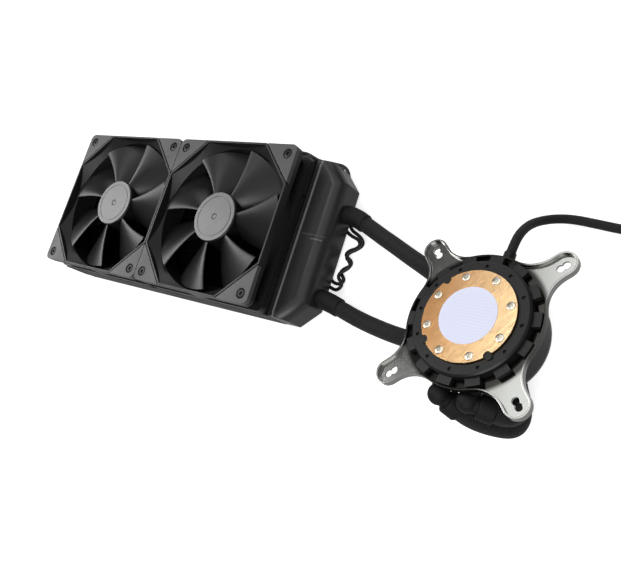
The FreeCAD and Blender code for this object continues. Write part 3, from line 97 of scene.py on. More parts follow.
def cleanCopy(node):  # a CAD node's triangles, joined and merged into flat faces
    bm = bmesh.new()
    bm.from_mesh(nodes[node].data)
    bmesh.ops.remove_doubles(bm, verts=bm.verts, dist=soften["weld"])
    bmesh.ops.dissolve_limit(bm, angle_limit=radians(soften["flatAngle"]), verts=bm.verts,
                             edges=bm.edges, delimit={"NORMAL"})
    return bm


def edgeChains(bm, chosen):  # the sharp edges to soften, in runs that bend gently
    sharp = {edge for edge in bm.edges if len(edge.link_faces) == 2
             and edge.calc_face_angle(0) > radians(soften["sharpAngle"])
             and (chosen is None or chosen(edge))}

    def nextEdge(edge, vert):
        others = [other for other in vert.link_edges if other in sharp and other is not edge]
        if len(others) != 1:
            return None
        arriving = vert.co - edge.other_vert(vert).co
        leaving = others[0].other_vert(vert).co - vert.co
        return others[0] if arriving.angle(leaving, 0) < radians(soften["runBend"]) else None

    chains, left = [], dict.fromkeys(sorted(sharp, key=lambda edge: edge.index))
    while left:
        chain = [left.popitem()[0]]
        for vert in chain[0].verts:
            edge = chain[0]
            while (edge := nextEdge(edge, vert)) in left:
                del left[edge]
                chain.append(edge)
                vert = edge.other_vert(vert)
        chains.append([edge.index for edge in chain])
    return chains


def softCopy(node, width, chosen):  # only what softens without a stray face
    plain = cleanCopy(node)
    plain.edges.index_update()
    source = BVHTree.FromBMesh(plain)
    area = sum(face.calc_area() for face in plain.faces)
    chains, kept = edgeChains(plain, chosen), []

    def attempt(picked):
        bm = plain.copy()
        bm.edges.ensure_lookup_table()
        bmesh.ops.bevel(bm, geom=[bm.edges[index] for chain in picked for index in chains[chain]],
                        offset=width * mm, segments=soften["segments"], profile=soften["profile"],
                        affect="EDGES", clamp_overlap=False)
        bmesh.ops.remove_doubles(bm, verts=bm.verts, dist=soften["weld"])
        places = [vert.co for vert in bm.verts] + [
            sum((loop.vert.co for loop in corners), Vector()) / 3 for corners in bm.calc_loop_triangles()]
        clean = (sum(face.calc_area() for face in bm.faces) < area * soften["areaRoom"]
                 and all(source.find_nearest(place)[3] < width * soften["strayRoom"] * mm
                         for place in places))
        if not clean:
            bm.free()
        return bm if clean else None

    def settle(group):
        trial = attempt(kept + group)
        if trial:
            kept.extend(group)
            trial.free()
        elif len(group) > 1:
            settle(group[:len(group) // 2])
            settle(group[len(group) // 2:])

    settle(list(range(len(chains))))
    print("softened", node, len(kept), "of", len(chains), "edge runs")
    soft = attempt(kept)
    plain.free()
    return soft


def bodyOf(node):
    for name, members in frame["record"]["behaviour"]["bodies"].items():
        if node in members:
            return name


def evenNormals(mesh):  # big flat faces keep their shading beside soft edges
    holder = newObject("shading", mesh)
    modifier = holder.modifiers.new("even", "WEIGHTED_NORMAL")
    modifier.keep_sharp = True
    modifier.weight = 100
    even = settledMesh(holder)
    even.name = mesh.name + "Even"
    return even


def dressNode(node, material, width, chosen=None):
    mesh = evenNormals(meshFrom(softCopy(node, width, chosen), node + "Skin", material))
    addPiece(node + "Skin", mesh, bodyOf(node), node)


def lathe(profile, sides):  # closed shell turned about Z from (radius, height) pairs in mm
    bm = bmesh.new()
    rings = [[bm.verts.new((radius * mm * cos(2 * pi * i / sides), radius * mm * sin(2 * pi * i / sides),
                            height * mm)) for i in range(sides if radius else 1)]
             for radius, height in profile]
    pairs = zip(rings, rings[1:] + (rings[:1] if profile[0][0] else []))
    for low, high in pairs:
        for i in range(sides):
            j = (i + 1) % sides
            corners = [low[i % len(low)], low[j % len(low)], high[j % len(high)], high[i % len(high)]]
            unique = list(dict.fromkeys(corners))
            if len(unique) > 2:
                bm.faces.new(unique)
    bmesh.ops.recalc_face_normals(bm, faces=bm.faces)
    return bm


# shader building blocks
def grow(tree, kind, sockets=None, **settings):
    node = tree.nodes.new(kind)
    for key, value in settings.items():
        setattr(node, key, value)
    for key, value in (sockets or {}).items():
        if isinstance(value, bpy.types.NodeSocket):
            tree.links.new(value, node.inputs[key])
        else:
            node.inputs[key].default_value = value
    return node


def put(tree, kind, sockets=None, **settings):
    return grow(tree, "ShaderNode" + kind, sockets, **settings)


def newTree(kind, name, inputs, outputs):
    tree = bpy.data.node_groups.new(name, kind + "NodeTree")
    for label, socket, *value in inputs:
        made = tree.interface.new_socket(label, in_out="INPUT", socket_type="NodeSocket" + socket)
        if value:
            made.default_value = value[0]
    for label, socket in outputs:
        tree.interface.new_socket(label, in_out="OUTPUT", socket_type="NodeSocket" + socket)
    return tree, tree.nodes.new("NodeGroupInput"), tree.nodes.new("NodeGroupOutput")


def math(tree, operation, a, b=0.0):
    return put(tree, "Math", {0: a, 1: b}, operation=operation).outputs[0]


def plus(tree, a, b):
    return math(tree, "ADD", a, b)


def minus(tree, a, b):
    return math(tree, "SUBTRACT", a, b)


def times(tree, a, b):
    return math(tree, "MULTIPLY", a, b)


def divide(tree, a, b):
    return math(tree, "DIVIDE", a, b)


def mixed(tree, factor, low, high):
    return put(tree, "Mix", {"Factor": factor, 6: low, 7: high}, data_type="RGBA").outputs[2]


def grainGroup():  # fine moulded or powdery grain, and broad patches of handling
    group, start, end = newTree("Shader", "fineGrain", [
        ("Size", "Float", 0.0005), ("Patch Size", "Float", 0.03)],
        [("Height", "Float"), ("Patch", "Float")])
    place = put(group, "TexCoord").outputs["Object"]
    fine, broad = (put(group, "VectorMath", {0: place, "Scale": divide(group, 1.0, start.outputs[size])},
                       operation="SCALE") for size in ("Size", "Patch Size"))
    grain = put(group, "TexNoise", {"Vector": fine.outputs[0], "Scale": 1.0, "Detail": 3.0})
    patch = put(group, "TexNoise", {"Vector": broad.outputs[0], "Scale": 1.0, "Detail": 4.0,
                                    "Roughness": 0.6})
    group.links.new(grain.outputs["Fac"], end.inputs["Height"])
    group.links.new(patch.outputs["Fac"], end.inputs["Patch"])
    return group


def brushGroup():  # long fine scratches along X of the given vector
    group, start, end = newTree("Shader", "brushedLines", [
        ("Vector", "Vector"), ("Spacing", "Float", 0.0003), ("Length", "Float", 0.02)],
        [("Height", "Float")])
    parts = put(group, "SeparateXYZ", {0: start.outputs["Vector"]})
    joined = put(group, "CombineXYZ", {
        "X": divide(group, parts.outputs["X"], start.outputs["Length"]),
        "Y": divide(group, parts.outputs["Y"], start.outputs["Spacing"]),
        "Z": divide(group, parts.outputs["Z"], start.outputs["Spacing"])})
    lines = put(group, "TexNoise", {"Vector": joined.outputs[0], "Scale": 1.0, "Detail": 2.0})
    group.links.new(lines.outputs["Fac"], end.inputs["Height"])
    return group


def turnedGroup():  # rings left by a lathe
    group, start, end = newTree("Shader", "turnedRings", [
        ("Vector", "Vector"), ("Spacing", "Float", 0.0003)], [("Height", "Float")])
    parts = put(group, "SeparateXYZ", {0: start.outputs["Vector"]})
    x, y = parts.outputs["X"], parts.outputs["Y"]
    radius = math(group, "SQRT", plus(group, times(group, x, x), times(group, y, y)))
    rings = put(group, "TexNoise", {"W": divide(group, radius, start.outputs["Spacing"]),
                                    "Scale": 1.0, "Detail": 2.0}, noise_dimensions="1D")
    group.links.new(rings.outputs["Fac"], end.inputs["Height"])
    return group


def braidGroup():  # two crossing sets of strands on a UV map that is in metres, with painted highlight on the strands' crests and painted shade between them
    group, start, end = newTree("Shader", "braid", [("Pitch", "Float", 0.0018)],
                                [("Height", "Float"), ("Painted Shade", "Float")])
    parts = put(group, "SeparateXYZ", {0: put(group, "TexCoord").outputs["UV"]})
    turn = divide(group, 2 * pi, start.outputs["Pitch"])
    along = times(group, parts.outputs["X"], turn)
    around = times(group, parts.outputs["Y"], turn)
    first = math(group, "SINE", plus(group, along, around))
    second = math(group, "SINE", minus(group, along, around))
    over = plus(group, times(group, math(group, "SINE", around), 0.5), 0.5)
    weave = put(group, "Mix", {"Factor": over, 2: first, 3: second}, data_type="FLOAT")
    crossing = times(group, math(group, "MAXIMUM", first, second), 0.8)
    height = math(group, "MAXIMUM", weave.outputs[0], crossing)
    group.links.new(height, end.inputs["Height"])
    # painted light: the crests lighter, the gaps between strands darker
    group.links.new(plus(group, times(group, height, 0.5), 0.5), end.inputs["Painted Shade"])
    return group


groups = {"grain": grainGroup(), "brush": brushGroup(), "turned": turnedGroup(), "braid": braidGroup()}


def useGroup(tree, name, sockets=None):
    return put(tree, "Group", sockets, node_tree=groups[name])


def startMaterial(name, roughness, metallic=0.0, specular=0.5):
    material = bpy.data.materials.new(name)
    material.use_nodes = True
    tree = material.node_tree
    shader = tree.nodes["Principled BSDF"]
    shader.inputs["Roughness"].default_value = roughness
    shader.inputs["Metallic"].default_value = metallic
    shader.inputs["Specular IOR Level"].default_value = specular
    return material, tree, shader


def tone(tree, shader, factor, dark, light):
    ramp = put(tree, "Mix", {"Factor": factor, 6: (*dark, 1), 7: (*light, 1)}, data_type="RGBA",
               clamp_factor=True).outputs[2]
    tree.links.new(ramp, shader.inputs["Base Color"])
    return ramp


def spread(tree, shader, factor, low, high):
    ranged = put(tree, "MapRange", {"Value": factor, "From Min": 0.3, "From Max": 0.7,
                                    "To Min": low, "To Max": high})
    tree.links.new(ranged.outputs[0], shader.inputs["Roughness"])


def relief(tree, shader, height, distance):
    bump = put(tree, "Bump", {"Height": height, "Distance": distance, "Strength": 1.0})
    tree.links.new(bump.outputs[0], shader.inputs["Normal"])


def grainy(name, dark, light, rough, size, depth, patch, metallic, specular):
    material, tree, shader = startMaterial(name, rough[0], metallic, specular)
    grain = useGroup(tree, "grain", {"Size": size, "Patch Size": patch})
    tone(tree, shader, grain.outputs["Patch"], gray(dark), gray(light))
    spread(tree, shader, grain.outputs["Patch"], *rough)
    relief(tree, shader, grain.outputs["Height"], depth)
    return material


def mappedObject(tree, matrix=None):  # Object coordinates, turned into a piece's own directions
    place = put(tree, "TexCoord").outputs["Object"]
    if matrix is None:
        return place
    inverse = matrix.inverted()
    turned = put(tree, "Mapping", {"Vector": place, "Location": inverse.to_translation(),
                                   "Rotation": inverse.to_euler("XYZ")}, vector_type="POINT")
    return turned.outputs[0]


def gray(value):
    return value if isinstance(value, tuple) else (value,) * 3


plainFinishes = {  # name, dark, light, roughness, grain and its depth, patches, metallic, specular
    "case": ("powderCoatBlack", 0.013, 0.018, (0.46, 0.6), 0.00045, 0.00003, 0.03, 0.0, 0.2),
    "frame": ("fanFramePlastic", 0.011, 0.015, (0.34, 0.46), 0.0003, 0.00001, 0.03, 0.0, 0.3),
    "blade": ("bladePlastic", 0.006, 0.009, (0.3, 0.4), 0.0004, 0.000006, 0.05, 0.0, 0.34),
    "screw": ("blackScrew", 0.012, 0.02, (0.3, 0.45), 0.0002, 0.000004, 0.01, 0.5, 0.3),
    "block": ("pumpBlockPlastic", 0.006, 0.01, (0.3, 0.44), 0.0003, 0.00001, 0.02, 0.0, 0.3),
    "cap": ("pumpCapPlastic", 0.005, 0.008, (0.22, 0.32), 0.0004, 0.000004, 0.04, 0.0, 0.3),
    "black": ("mouldedBlack", 0.006, 0.01, (0.32, 0.46), 0.0003, 0.00001, 0.03, 0.0, 0.3),
    "collar": ("collarRubber", 0.004, 0.007, (0.55, 0.7), 0.0003, 0.00001, 0.02, 0.0, 0.25),
    "fin": ("finPaint", 0.004, 0.007, (0.5, 0.65), 0.0003, 0.000005, 0.02, 0.0, 0.0),
    "seal": ("sealRubber", 0.012, 0.02, (0.5, 0.7), 0.0003, 0.00001, 0.03, 0.0, 0.5),
    "magnet": ("ferrite", 0.03, 0.045, (0.5, 0.65), 0.0002, 0.00001, 0.01, 0.0, 0.5),
    "winding": ("windingCopper", (0.3, 0.11, 0.035), (0.42, 0.17, 0.06), (0.3, 0.45), 0.0004,
                0.00005, 0.01, 0.7, 0.5),
    "board": ("circuitLacquer", (0.008, 0.05, 0.02), (0.012, 0.07, 0.03), (0.25, 0.4), 0.0006,
              0.00002, 0.01, 0.0, 0.5),
    "bearing": ("sinteredBronze", (0.42, 0.27, 0.11), (0.5, 0.33, 0.15), (0.35, 0.5), 0.0003,
                0.00002, 0.01, 1.0, 0.5),
    "steel": ("groundSteel", 0.42, 0.5, (0.2, 0.3), 0.0002, 0.000004, 0.01, 1.0, 0.5),
    "plateScrew": ("warmNickelScrew", (0.58, 0.54, 0.46), (0.7, 0.66, 0.57), (0.2, 0.3), 0.0002,
                   0.000004, 0.01, 1.0, 0.5),
    "brass": ("turnedBrass", (0.5, 0.38, 0.16), (0.6, 0.46, 0.2), (0.3, 0.42), 0.0003,
              0.00001, 0.02, 1.0, 0.5),
    "ceramic": ("whiteCeramic", 0.72, 0.78, (0.2, 0.3), 0.0004, 0.000003, 0.03, 0.0, 0.5),
    "wheel": ("wheelPlastic", 0.06, 0.08, (0.4, 0.5), 0.0003, 0.00001, 0.03, 0.0, 0.5),
    "leadSleeve": ("leadSleeve", 0.006, 0.01, (0.36, 0.48), 0.0006, 0.00003, 0.03, 0.0, 0.3),
    "floor": ("paleFloor", 0.66, 0.68, (0.7, 0.8), 0.002, 0.00001, 0.3, 0.0, 0.0),
}
finish = {key: grainy(*values) for key, values in plainFinishes.items()}
glow = finish["floor"].node_tree.nodes["Principled BSDF"].inputs
glow["Emission Color"].default_value = (1, 1, 1, 1)
glow["Emission Strength"].default_value = 0.7


copperLook = {
    "turn": 58, "fine": {"Spacing": 0.00022, "Length": 0.014},
    "broad": {"Spacing": 0.0016, "Length": 0.05}, "broadShare": 0.7,
    # a painted reflection lightens the face across X between these bounds
    "paintedSheen": {"From Min": -0.024, "From Max": 0.026}, "paintedSheenMiddle": 0.42, "paintedSheenShare": 0.9,
    "dark": (0.60, 0.31, 0.13), "light": (0.97, 0.71, 0.40),
}


def copperFinish():  # a lapped copper face: fine straight marks, and a painted reflection that lightens it towards one side
    material, tree, shader = startMaterial("lappedCopper", 0.3, 1.0)
    place = mappedObject(tree, pumpMatrix @ Matrix.Rotation(radians(copperLook["turn"]), 4, "Z"))
    lines = useGroup(tree, "brush", {"Vector": place, **copperLook["fine"]})
    broad = useGroup(tree, "brush", {"Vector": place, **copperLook["broad"]})
    # painted reflection: the tone lightens across the face along X
    side = put(tree, "SeparateXYZ", {0: mappedObject(tree, pumpMatrix)}).outputs["X"]
    paintedSheen = put(tree, "MapRange", {"Value": side, **copperLook["paintedSheen"]}).outputs[0]
    factor = plus(tree, times(tree, broad.outputs["Height"], copperLook["broadShare"]),
                  times(tree, minus(tree, paintedSheen, copperLook["paintedSheenMiddle"]), copperLook["paintedSheenShare"]))
    tone(tree, shader, factor, copperLook["dark"], copperLook["light"])
    spread(tree, shader, lines.outputs["Height"], 0.17, 0.28)
    relief(tree, shader, lines.outputs["Height"], 0.00007)
    return material


nickelLook = {
    # the painted shade inside the ring fades in between these two radii, to this dark tone
    "paintedShadeFrom": 0.0432, "paintedShadeTo": 0.0398, "paintedLightAndMarkTone": (0.035, 0.034, 0.031, 1),
    "dark": (0.29, 0.295, 0.28), "light": (0.33, 0.335, 0.32),
}


def nickelFinish():  # bright plated pressing, with painted shade inside the ring, standing for the black block mirrored in it
    material, tree, shader = startMaterial("brightNickel", 0.16, 1.0)
    place = mappedObject(tree, pumpMatrix)
    grain = useGroup(tree, "grain", {"Size": 0.0008, "Patch Size": 0.02})
    flat = put(tree, "VectorMath", {0: place, 1: (1, 1, 0)}, operation="MULTIPLY").outputs[0]
    reach = put(tree, "VectorMath", {0: flat}, operation="LENGTH").outputs["Value"]
    # painted shade: darker inside the ring's radius, in place of the black block's reflection
    paintedShade = put(tree, "MapRange", {"Value": reach, "From Min": nickelLook["paintedShadeFrom"],
                                  "From Max": nickelLook["paintedShadeTo"]},
               interpolation_type="SMOOTHSTEP").outputs[0]
    bright = tone(tree, shader, grain.outputs["Patch"], nickelLook["dark"], nickelLook["light"])
    tree.links.new(mixed(tree, paintedShade, bright, nickelLook["paintedLightAndMarkTone"]), shader.inputs["Base Color"])
    spread(tree, shader, grain.outputs["Patch"], 0.13, 0.2)
    relief(tree, shader, grain.outputs["Height"], 0.000001)
    return material


def compoundFinish():  # pale paste laid on through a screen of small dots
    material, tree, shader = startMaterial("printedCompound", 0.55)
    place = mappedObject(tree, pumpMatrix)
    cells = put(tree, "TexVoronoi", {"Vector": place, "Scale": 560.0, "Randomness": 0.06},
                voronoi_dimensions="2D", feature="F1")
    grain = useGroup(tree, "grain", {"Size": 0.0004, "Patch Size": 0.02})
    tone(tree, shader, cells.outputs["Distance"], (0.72, 0.74, 0.90), (0.65, 0.67, 0.84))
    spread(tree, shader, grain.outputs["Patch"], 0.5, 0.65)
    height = times(tree, cells.outputs["Distance"], -1.0)
    relief(tree, shader, height, 0.00012)
    return material


def hubFinish(name, centre):  # grey foil disc, brushed round its middle
    material, tree, shader = startMaterial(name, 0.34, 0.55)
    place = mappedObject(tree, Matrix.Translation((centre, 0, 0)))
    rings = useGroup(tree, "turned", {"Vector": place, "Spacing": 0.00025})
    grain = useGroup(tree, "grain", {"Size": 0.0005, "Patch Size": 0.02})
    tone(tree, shader, grain.outputs["Patch"], gray(0.07), gray(0.09))
    spread(tree, shader, rings.outputs["Height"], 0.3, 0.42)
    relief(tree, shader, rings.outputs["Height"], 0.000006)
    return material


def braidFinish(name, pitch, dark, light, depth):
    material, tree, shader = startMaterial(name, 0.5, specular=0.3)
    braid = useGroup(tree, "braid", {"Pitch": pitch})
    grain = useGroup(tree, "grain", {"Size": 0.0003, "Patch Size": 0.02})
    patchy = plus(tree, times(tree, grain.outputs["Height"], 0.6), 0.6)
    # the braid's painted highlight and shade set the hose's tone
    shade = times(tree, braid.outputs["Painted Shade"], patchy)
    tone(tree, shader, shade, dark, light)
    spread(tree, shader, grain.outputs["Height"], 0.42, 0.6)
    relief(tree, shader, braid.outputs["Height"], depth)
    return material


def band(tree, value, strip):  # 1 within a strip given by its middle and half width, 0 outside it
    return put(tree, "Math", {0: value, 1: strip[0], 2: strip[1]}, operation="COMPARE").outputs[0]


tankLook = {
    # the rim band is a painted highlight; the marks are the mould gate's own; both take this lighter tone
    "rim": (0.12475, 0.0007), "rimFloor": 0.0262, "paintedLightAndMarkTone": (0.16, 0.16, 0.155, 1),
    "marks": [{"y": (0.0032, 0.0003), "x": (0.1365, 0.0095), "strength": 0.35},
              {"y": (0.0002, 0.00045), "x": (0.1405, 0.0045), "strength": 0.7}],
}


def tankFinish():  # black coat, with a painted highlight along the crimp rim and the mark the mould's gate left
    material, tree, shader = startMaterial("tankCoat", 0.36)
    grain = useGroup(tree, "grain", {"Size": 0.00045, "Patch Size": 0.03})
    place = put(tree, "SeparateXYZ", {0: mappedObject(tree)}).outputs
    # painted highlight: a lighter band along the top of the crimp rim
    rim = times(tree, band(tree, place["X"], tankLook["rim"]),
                math(tree, "GREATER_THAN", place["Z"], tankLook["rimFloor"]))
    marks = math(tree, "MAXIMUM", *(
        times(tree, times(tree, band(tree, place["Y"], mark["y"]), band(tree, place["X"], mark["x"])),
              mark["strength"]) for mark in tankLook["marks"]))
    coat = tone(tree, shader, grain.outputs["Patch"], gray(0.013), gray(0.018))
    # the lighter tone paints the rim's highlight and colours the real mould marks
    paintedLightAndMarkTone = mixed(tree, math(tree, "MAXIMUM", rim, marks), coat, tankLook["paintedLightAndMarkTone"])
    tree.links.new(paintedLightAndMarkTone, shader.inputs["Base Color"])
    spread(tree, shader, grain.outputs["Patch"], 0.3, 0.42)
    relief(tree, shader, plus(tree, grain.outputs["Height"], times(tree, marks, 6.0)), 0.00003)
    return material


padLook = {
    # below the front height the pads get near-black painted shade; the low share is painted light on the
    # lower pads
    "front": 0.04, "patchShare": 0.4, "paintedLightLowShare": 0.5, "black": (0.012, 0.012, 0.012, 1),
    "dark": gray(0.042), "light": gray(0.078),
}


def padFinish():  # grey rubber, with painted light on the lower pads and painted shade, near black, on the rear pads between the frame and the core
    material, tree, shader = startMaterial("padRubber", 0.55)
    grain = useGroup(tree, "grain", {"Size": 0.00035, "Patch Size": 0.03})
    place = put(tree, "SeparateXYZ", {0: mappedObject(tree)}).outputs
    # painted shade: the rear pads, between the frame and the core, go near black
    front = math(tree, "GREATER_THAN", place["Z"], padLook["front"])
    # painted light: the pads below the middle are lighter
    low = math(tree, "LESS_THAN", place["Y"], 0.0)
    shade = plus(tree, times(tree, grain.outputs["Patch"], padLook["patchShare"]),
                 times(tree, low, padLook["paintedLightLowShare"]))
    fair = tone(tree, shader, shade, padLook["dark"], padLook["light"])
    tree.links.new(mixed(tree, front, padLook["black"], fair), shader.inputs["Base Color"])
    spread(tree, shader, grain.outputs["Patch"], 0.42, 0.56)
    relief(tree, shader, grain.outputs["Height"], 0.00002)
    return material


finish["pad"] = padFinish()
finish["tank"] = tankFinish()
finish["copper"] = copperFinish()
finish["nickel"] = nickelFinish()
finish["compound"] = compoundFinish()
finish["hub1"] = hubFinish("hubFoilOuter", -0.06)
finish["hub2"] = hubFinish("hubFoilInner", 0.06)
finish["hose"] = braidFinish("hoseBraid", 0.0018221, gray(0.003), gray(0.012), 0.00022)
finish["cable"] = braidFinish("cableBraid", 0.0014661, gray(0.003), gray(0.012), 0.0002)
print("finishes made:", len(finish))

# camera at the photograph's place, pale floor and soft studio light
view = {
    "place": (431.62, -104.82, 403.67),
    "right": (0.78908, 0.30229, -0.53476),
    "down": (0.15434, -0.94018, -0.30372),
    "ahead": (-0.59458, 0.15712, -0.78853),
    "lens": 40.284, "sensor": 36, "nearest": 0.01,
}
camera = newObject("camera", bpy.data.cameras.new("camera"))
camera.data.lens = view["lens"]
camera.data.sensor_width = view["sensor"]
camera.data.sensor_fit = "HORIZONTAL"
camera.data.clip_start = view["nearest"]
camera.matrix_world = Matrix([
    (view["right"][i], -view["down"][i], -view["ahead"][i], view["place"][i] * mm) for i in range(3)]
    + [(0, 0, 0, 1)])
bpy.context.scene.camera = camera
bpy.context.scene.view_settings.view_transform = "Standard"

floorMesh = bpy.data.meshes.new("floor")
sheet = {"reach": 6.0, "level": -0.0004}
floorMesh.from_pydata([(x * sheet["reach"], y * sheet["reach"], sheet["level"])
                       for x, y in ((-1, -1), (1, -1), (1, 1), (-1, 1))], [], [(0, 1, 2, 3)])
floorMesh.materials.append(finish["floor"])
floor = newObject("floor", floorMesh)
floor.visible_glossy = False  # the gloss shows the dark of the studio, not the sheet below
floor.visible_diffuse = False

# a dark room, whose lower half stands for the light of the pale sheet
room = {"From Min": -0.02, "From Max": 0.02, "To Min": 0.55, "To Max": 0.17}
world = bpy.data.worlds.new("darkRoom")
world.use_nodes = True
roomTree = world.node_tree
roomTree.nodes["Background"].inputs["Color"].default_value = (1, 1, 1, 1)
seen = put(roomTree, "LightPath").outputs["Is Camera Ray"]
height = put(roomTree, "SeparateXYZ", {0: put(roomTree, "TexCoord").outputs["Generated"]}).outputs["Z"]
sheetLight = put(roomTree, "MapRange", {"Value": height, **room}).outputs[0]
roomTree.links.new(math(roomTree, "MAXIMUM", seen, sheetLight),
                   roomTree.nodes["Background"].inputs["Strength"])
bpy.context.scene.world = world

lamps = {  # each ends where a face that the photograph shows dark would mirror it
    "ceilingPanel": {"place": (0.61, 0.35, 1.6), "aim": (0.61, 0.35, 0), "size": (1.72, 2.5),
                     "power": 10},
    "armSoftbox": {"place": (-0.54, 0.85, 1.6), "aim": (-0.54, 0.85, 0), "size": (0.58, 1.3),
                   "power": 5.6},
    "fanSoftbox": {"place": (-1.96, 0.25, 1.72), "aim": (0, 0, 0.05), "size": (0.9, 1.0), "power": 25},
    "frontSoftbox": {"place": (0.9, -1.6, 1.9), "aim": (0.15, 0, 0), "size": (1.6, 1.2), "power": 32},
    "backSoftbox": {"place": (-0.5, 2.1, 0.8), "aim": (0.1, 0, 0.03), "size": (1.8, 0.8), "power": 9},
}
for name, values in lamps.items():
    lamp = bpy.data.lights.new(name, "AREA")
    lamp.shape = "RECTANGLE"
    lamp.size, lamp.size_y = values["size"]
    lamp.energy = values["power"]
    holder = newObject(name, lamp)
    towards = Vector(values["aim"]) - Vector(values["place"])
    holder.matrix_world = Matrix.Translation(values["place"]) @ towards.to_track_quat(
        "-Z", "Y").to_matrix().to_4x4()
print("camera, floor and lights set")


# cords, close to the tubes of the solids
def smoothLine(points):  # the smooth line that a route's points control
    curve = bpy.data.curves.new("route", "CURVE")
    curve.dimensions = "3D"
    curve.resolution_u = 10
    spline = curve.splines.new("NURBS")
    spline.points.add(len(points) - 1)
    for point, place in zip(spline.points, points):
        point.co = (place[0] * mm, place[1] * mm, place[2] * mm, 1)
    spline.order_u = 3
    spline.use_endpoint_u = True
    return [vertex.co.copy() for vertex in settledMesh(newObject("route", curve)).vertices]


def tubeMesh(name, line, radius, material, sides, lift=None):  # UVs in metres; lift scales the width
    bm = bmesh.new()
    uvs = bm.loops.layers.uv.new("UVMap")
    side = (line[1] - line[0]).orthogonal().normalized()
    rings, distance, run = [], [], 0.0
    for i, place in enumerate(line):
        before, after = line[max(i - 1, 0)], line[min(i + 1, len(line) - 1)]
        ahead = (after - before).normalized()
        side = (side - ahead * side.dot(ahead)).normalized()
        up = ahead.cross(side)
        run += (place - line[i - 1]).length if i else 0
        width = radius * (lift(run) if lift else 1.0)
        rings.append([bm.verts.new(place + (side * cos(2 * pi * k / sides) + up * sin(2 * pi * k / sides))
                                   * width) for k in range(sides)])
        distance.append(run)
    around = 2 * pi * radius
    for i in range(len(rings) - 1):
        for k in range(sides):
            j = (k + 1) % sides
            face = bm.faces.new((rings[i][k], rings[i][j], rings[i + 1][j], rings[i + 1][k]))
            for loop, (u, v) in zip(face.loops, ((distance[i], k), (distance[i], k + 1),
                                                 (distance[i + 1], k + 1), (distance[i + 1], k))):
                loop[uvs].uv = (u, around * v / sides)
    for cap in (rings[0][::-1], rings[-1]):
        bm.faces.new(cap)
    bmesh.ops.recalc_face_normals(bm, faces=bm.faces)
    return meshFrom(bm, name, material, 60)


def pumpPoint(x, y, depth):  # a point given across, along and below the pump's face, in mm
    return pumpMatrix @ (Vector((x, y, -depth)) * mm) / mm


elbows = {
    "corner": 42, "depth": 17, "end": 15.35,
    "outlet": {"side": 8, "dip": 35, "swing": 0, "straight": 8},
    "inlet": {"side": -10, "dip": 52, "swing": 20, "straight": 8.5},
}


def elbowHeading(name):
    dip, swing = radians(elbows[name]["dip"]), radians(elbows[name]["swing"])
    return Vector((cos(dip) * cos(swing), -sin(swing) * cos(dip), -sin(dip)))


def elbowEnd(name):
    corner = Vector((elbows[name]["side"], -elbows["corner"], -elbows["depth"]))
    mouth = corner + elbowHeading(name) * elbows["end"]
    before = mouth + elbowHeading(name) * elbows[name]["straight"]
    return [pumpMatrix @ (p * mm) / mm for p in (before, mouth)]


hoses = {
    "radius": 5.8, "sides": 28,
    "upper": [(152, 26.0, 9.5), (158, 24.5, 9.35), (164, 21.8, 9.0), (172, 18.2, 8.2),
              (180, 14.6, 7.4), (190, 10.4, 6.6), (204, 4.2, 6.2), (218, -1.6, 6.1), (238, -10.5, 6.7),
              (257, -21.5, 7.7), (276, -34, 9.1), (294, -48.5, 12.1), (300.2, -63.8, 17.6),
              (308.7, -75.3, 24.0)],
    "lower": [(152, -38.0, 9.5), (158, -39.2, 9.35), (165, -41.1, 8.9), (174, -43.6, 7.8),
              (184, -46.0, 6.8), (199, -48.6, 6.1), (214, -50.4, 6.1), (232, -51.4, 6.1),
              (250, -54.9, 6.1), (268, -59.2, 6.1), (284, -63.5, 6.1), (297, -66.6, 6.2),
              (304.1, -76, 7.0), (304.8, -85.3, 11.4), (300.9, -89.1, 19.6)],
}
collars = {"reach": 18.4, "step": 0.4, "radius": 6.95, "taper": 0.3, "lip": 1.0, "lipDrop": 0.75,
           "sides": 36,
           "roots": {"upper": (147.4, 26.5, 9.5), "lower": (147.4, -37.4, 9.5)}}
collarMesh = bmesh.new()


def evenRun(line, start, end, step):  # places at even distances along a line, in metres
    places, run, wanted = [], 0.0, start
    for a, b in zip(line, line[1:]):
        length = (b - a).length
        while wanted <= min(run + length, end) and length:
            places.append(a.lerp(b, (wanted - run) / length))
            wanted += step
        run += length
    return places


def collarWidth(run):  # a slight taper, then a rounded lip at the hose
    left = collars["reach"] - run / mm
    width = collars["radius"] - collars["taper"] * run / mm / collars["reach"]
    lip = max(1 - left / collars["lip"], 0)
    return (width - collars["lipDrop"] * (1 - sqrt(max(1 - lip ** 2, 0)))) / collars["radius"]


for label, elbow in (("upper", "outlet"), ("lower", "inlet")):
    line = smoothLine(hoses[label] + elbowEnd(elbow))
    sleeve = tubeMesh(label + "Collar", evenRun([Vector(collars["roots"][label]) * mm] + line, 0,
                                                collars["reach"] * mm, collars["step"] * mm),
                      collars["radius"] * mm, finish["collar"], collars["sides"], collarWidth)
    collarMesh.from_mesh(sleeve)
    mesh = tubeMesh(label + "HoseBraid", line, hoses["radius"] * mm, finish["hose"], hoses["sides"])
    hose = addPiece(label + "HoseBraid", mesh, "cooler", label + "_hose")

addPiece("tankCollarSet", meshFrom(collarMesh, "tankCollarSet", finish["collar"]), "cooler",
         "tank_collars")

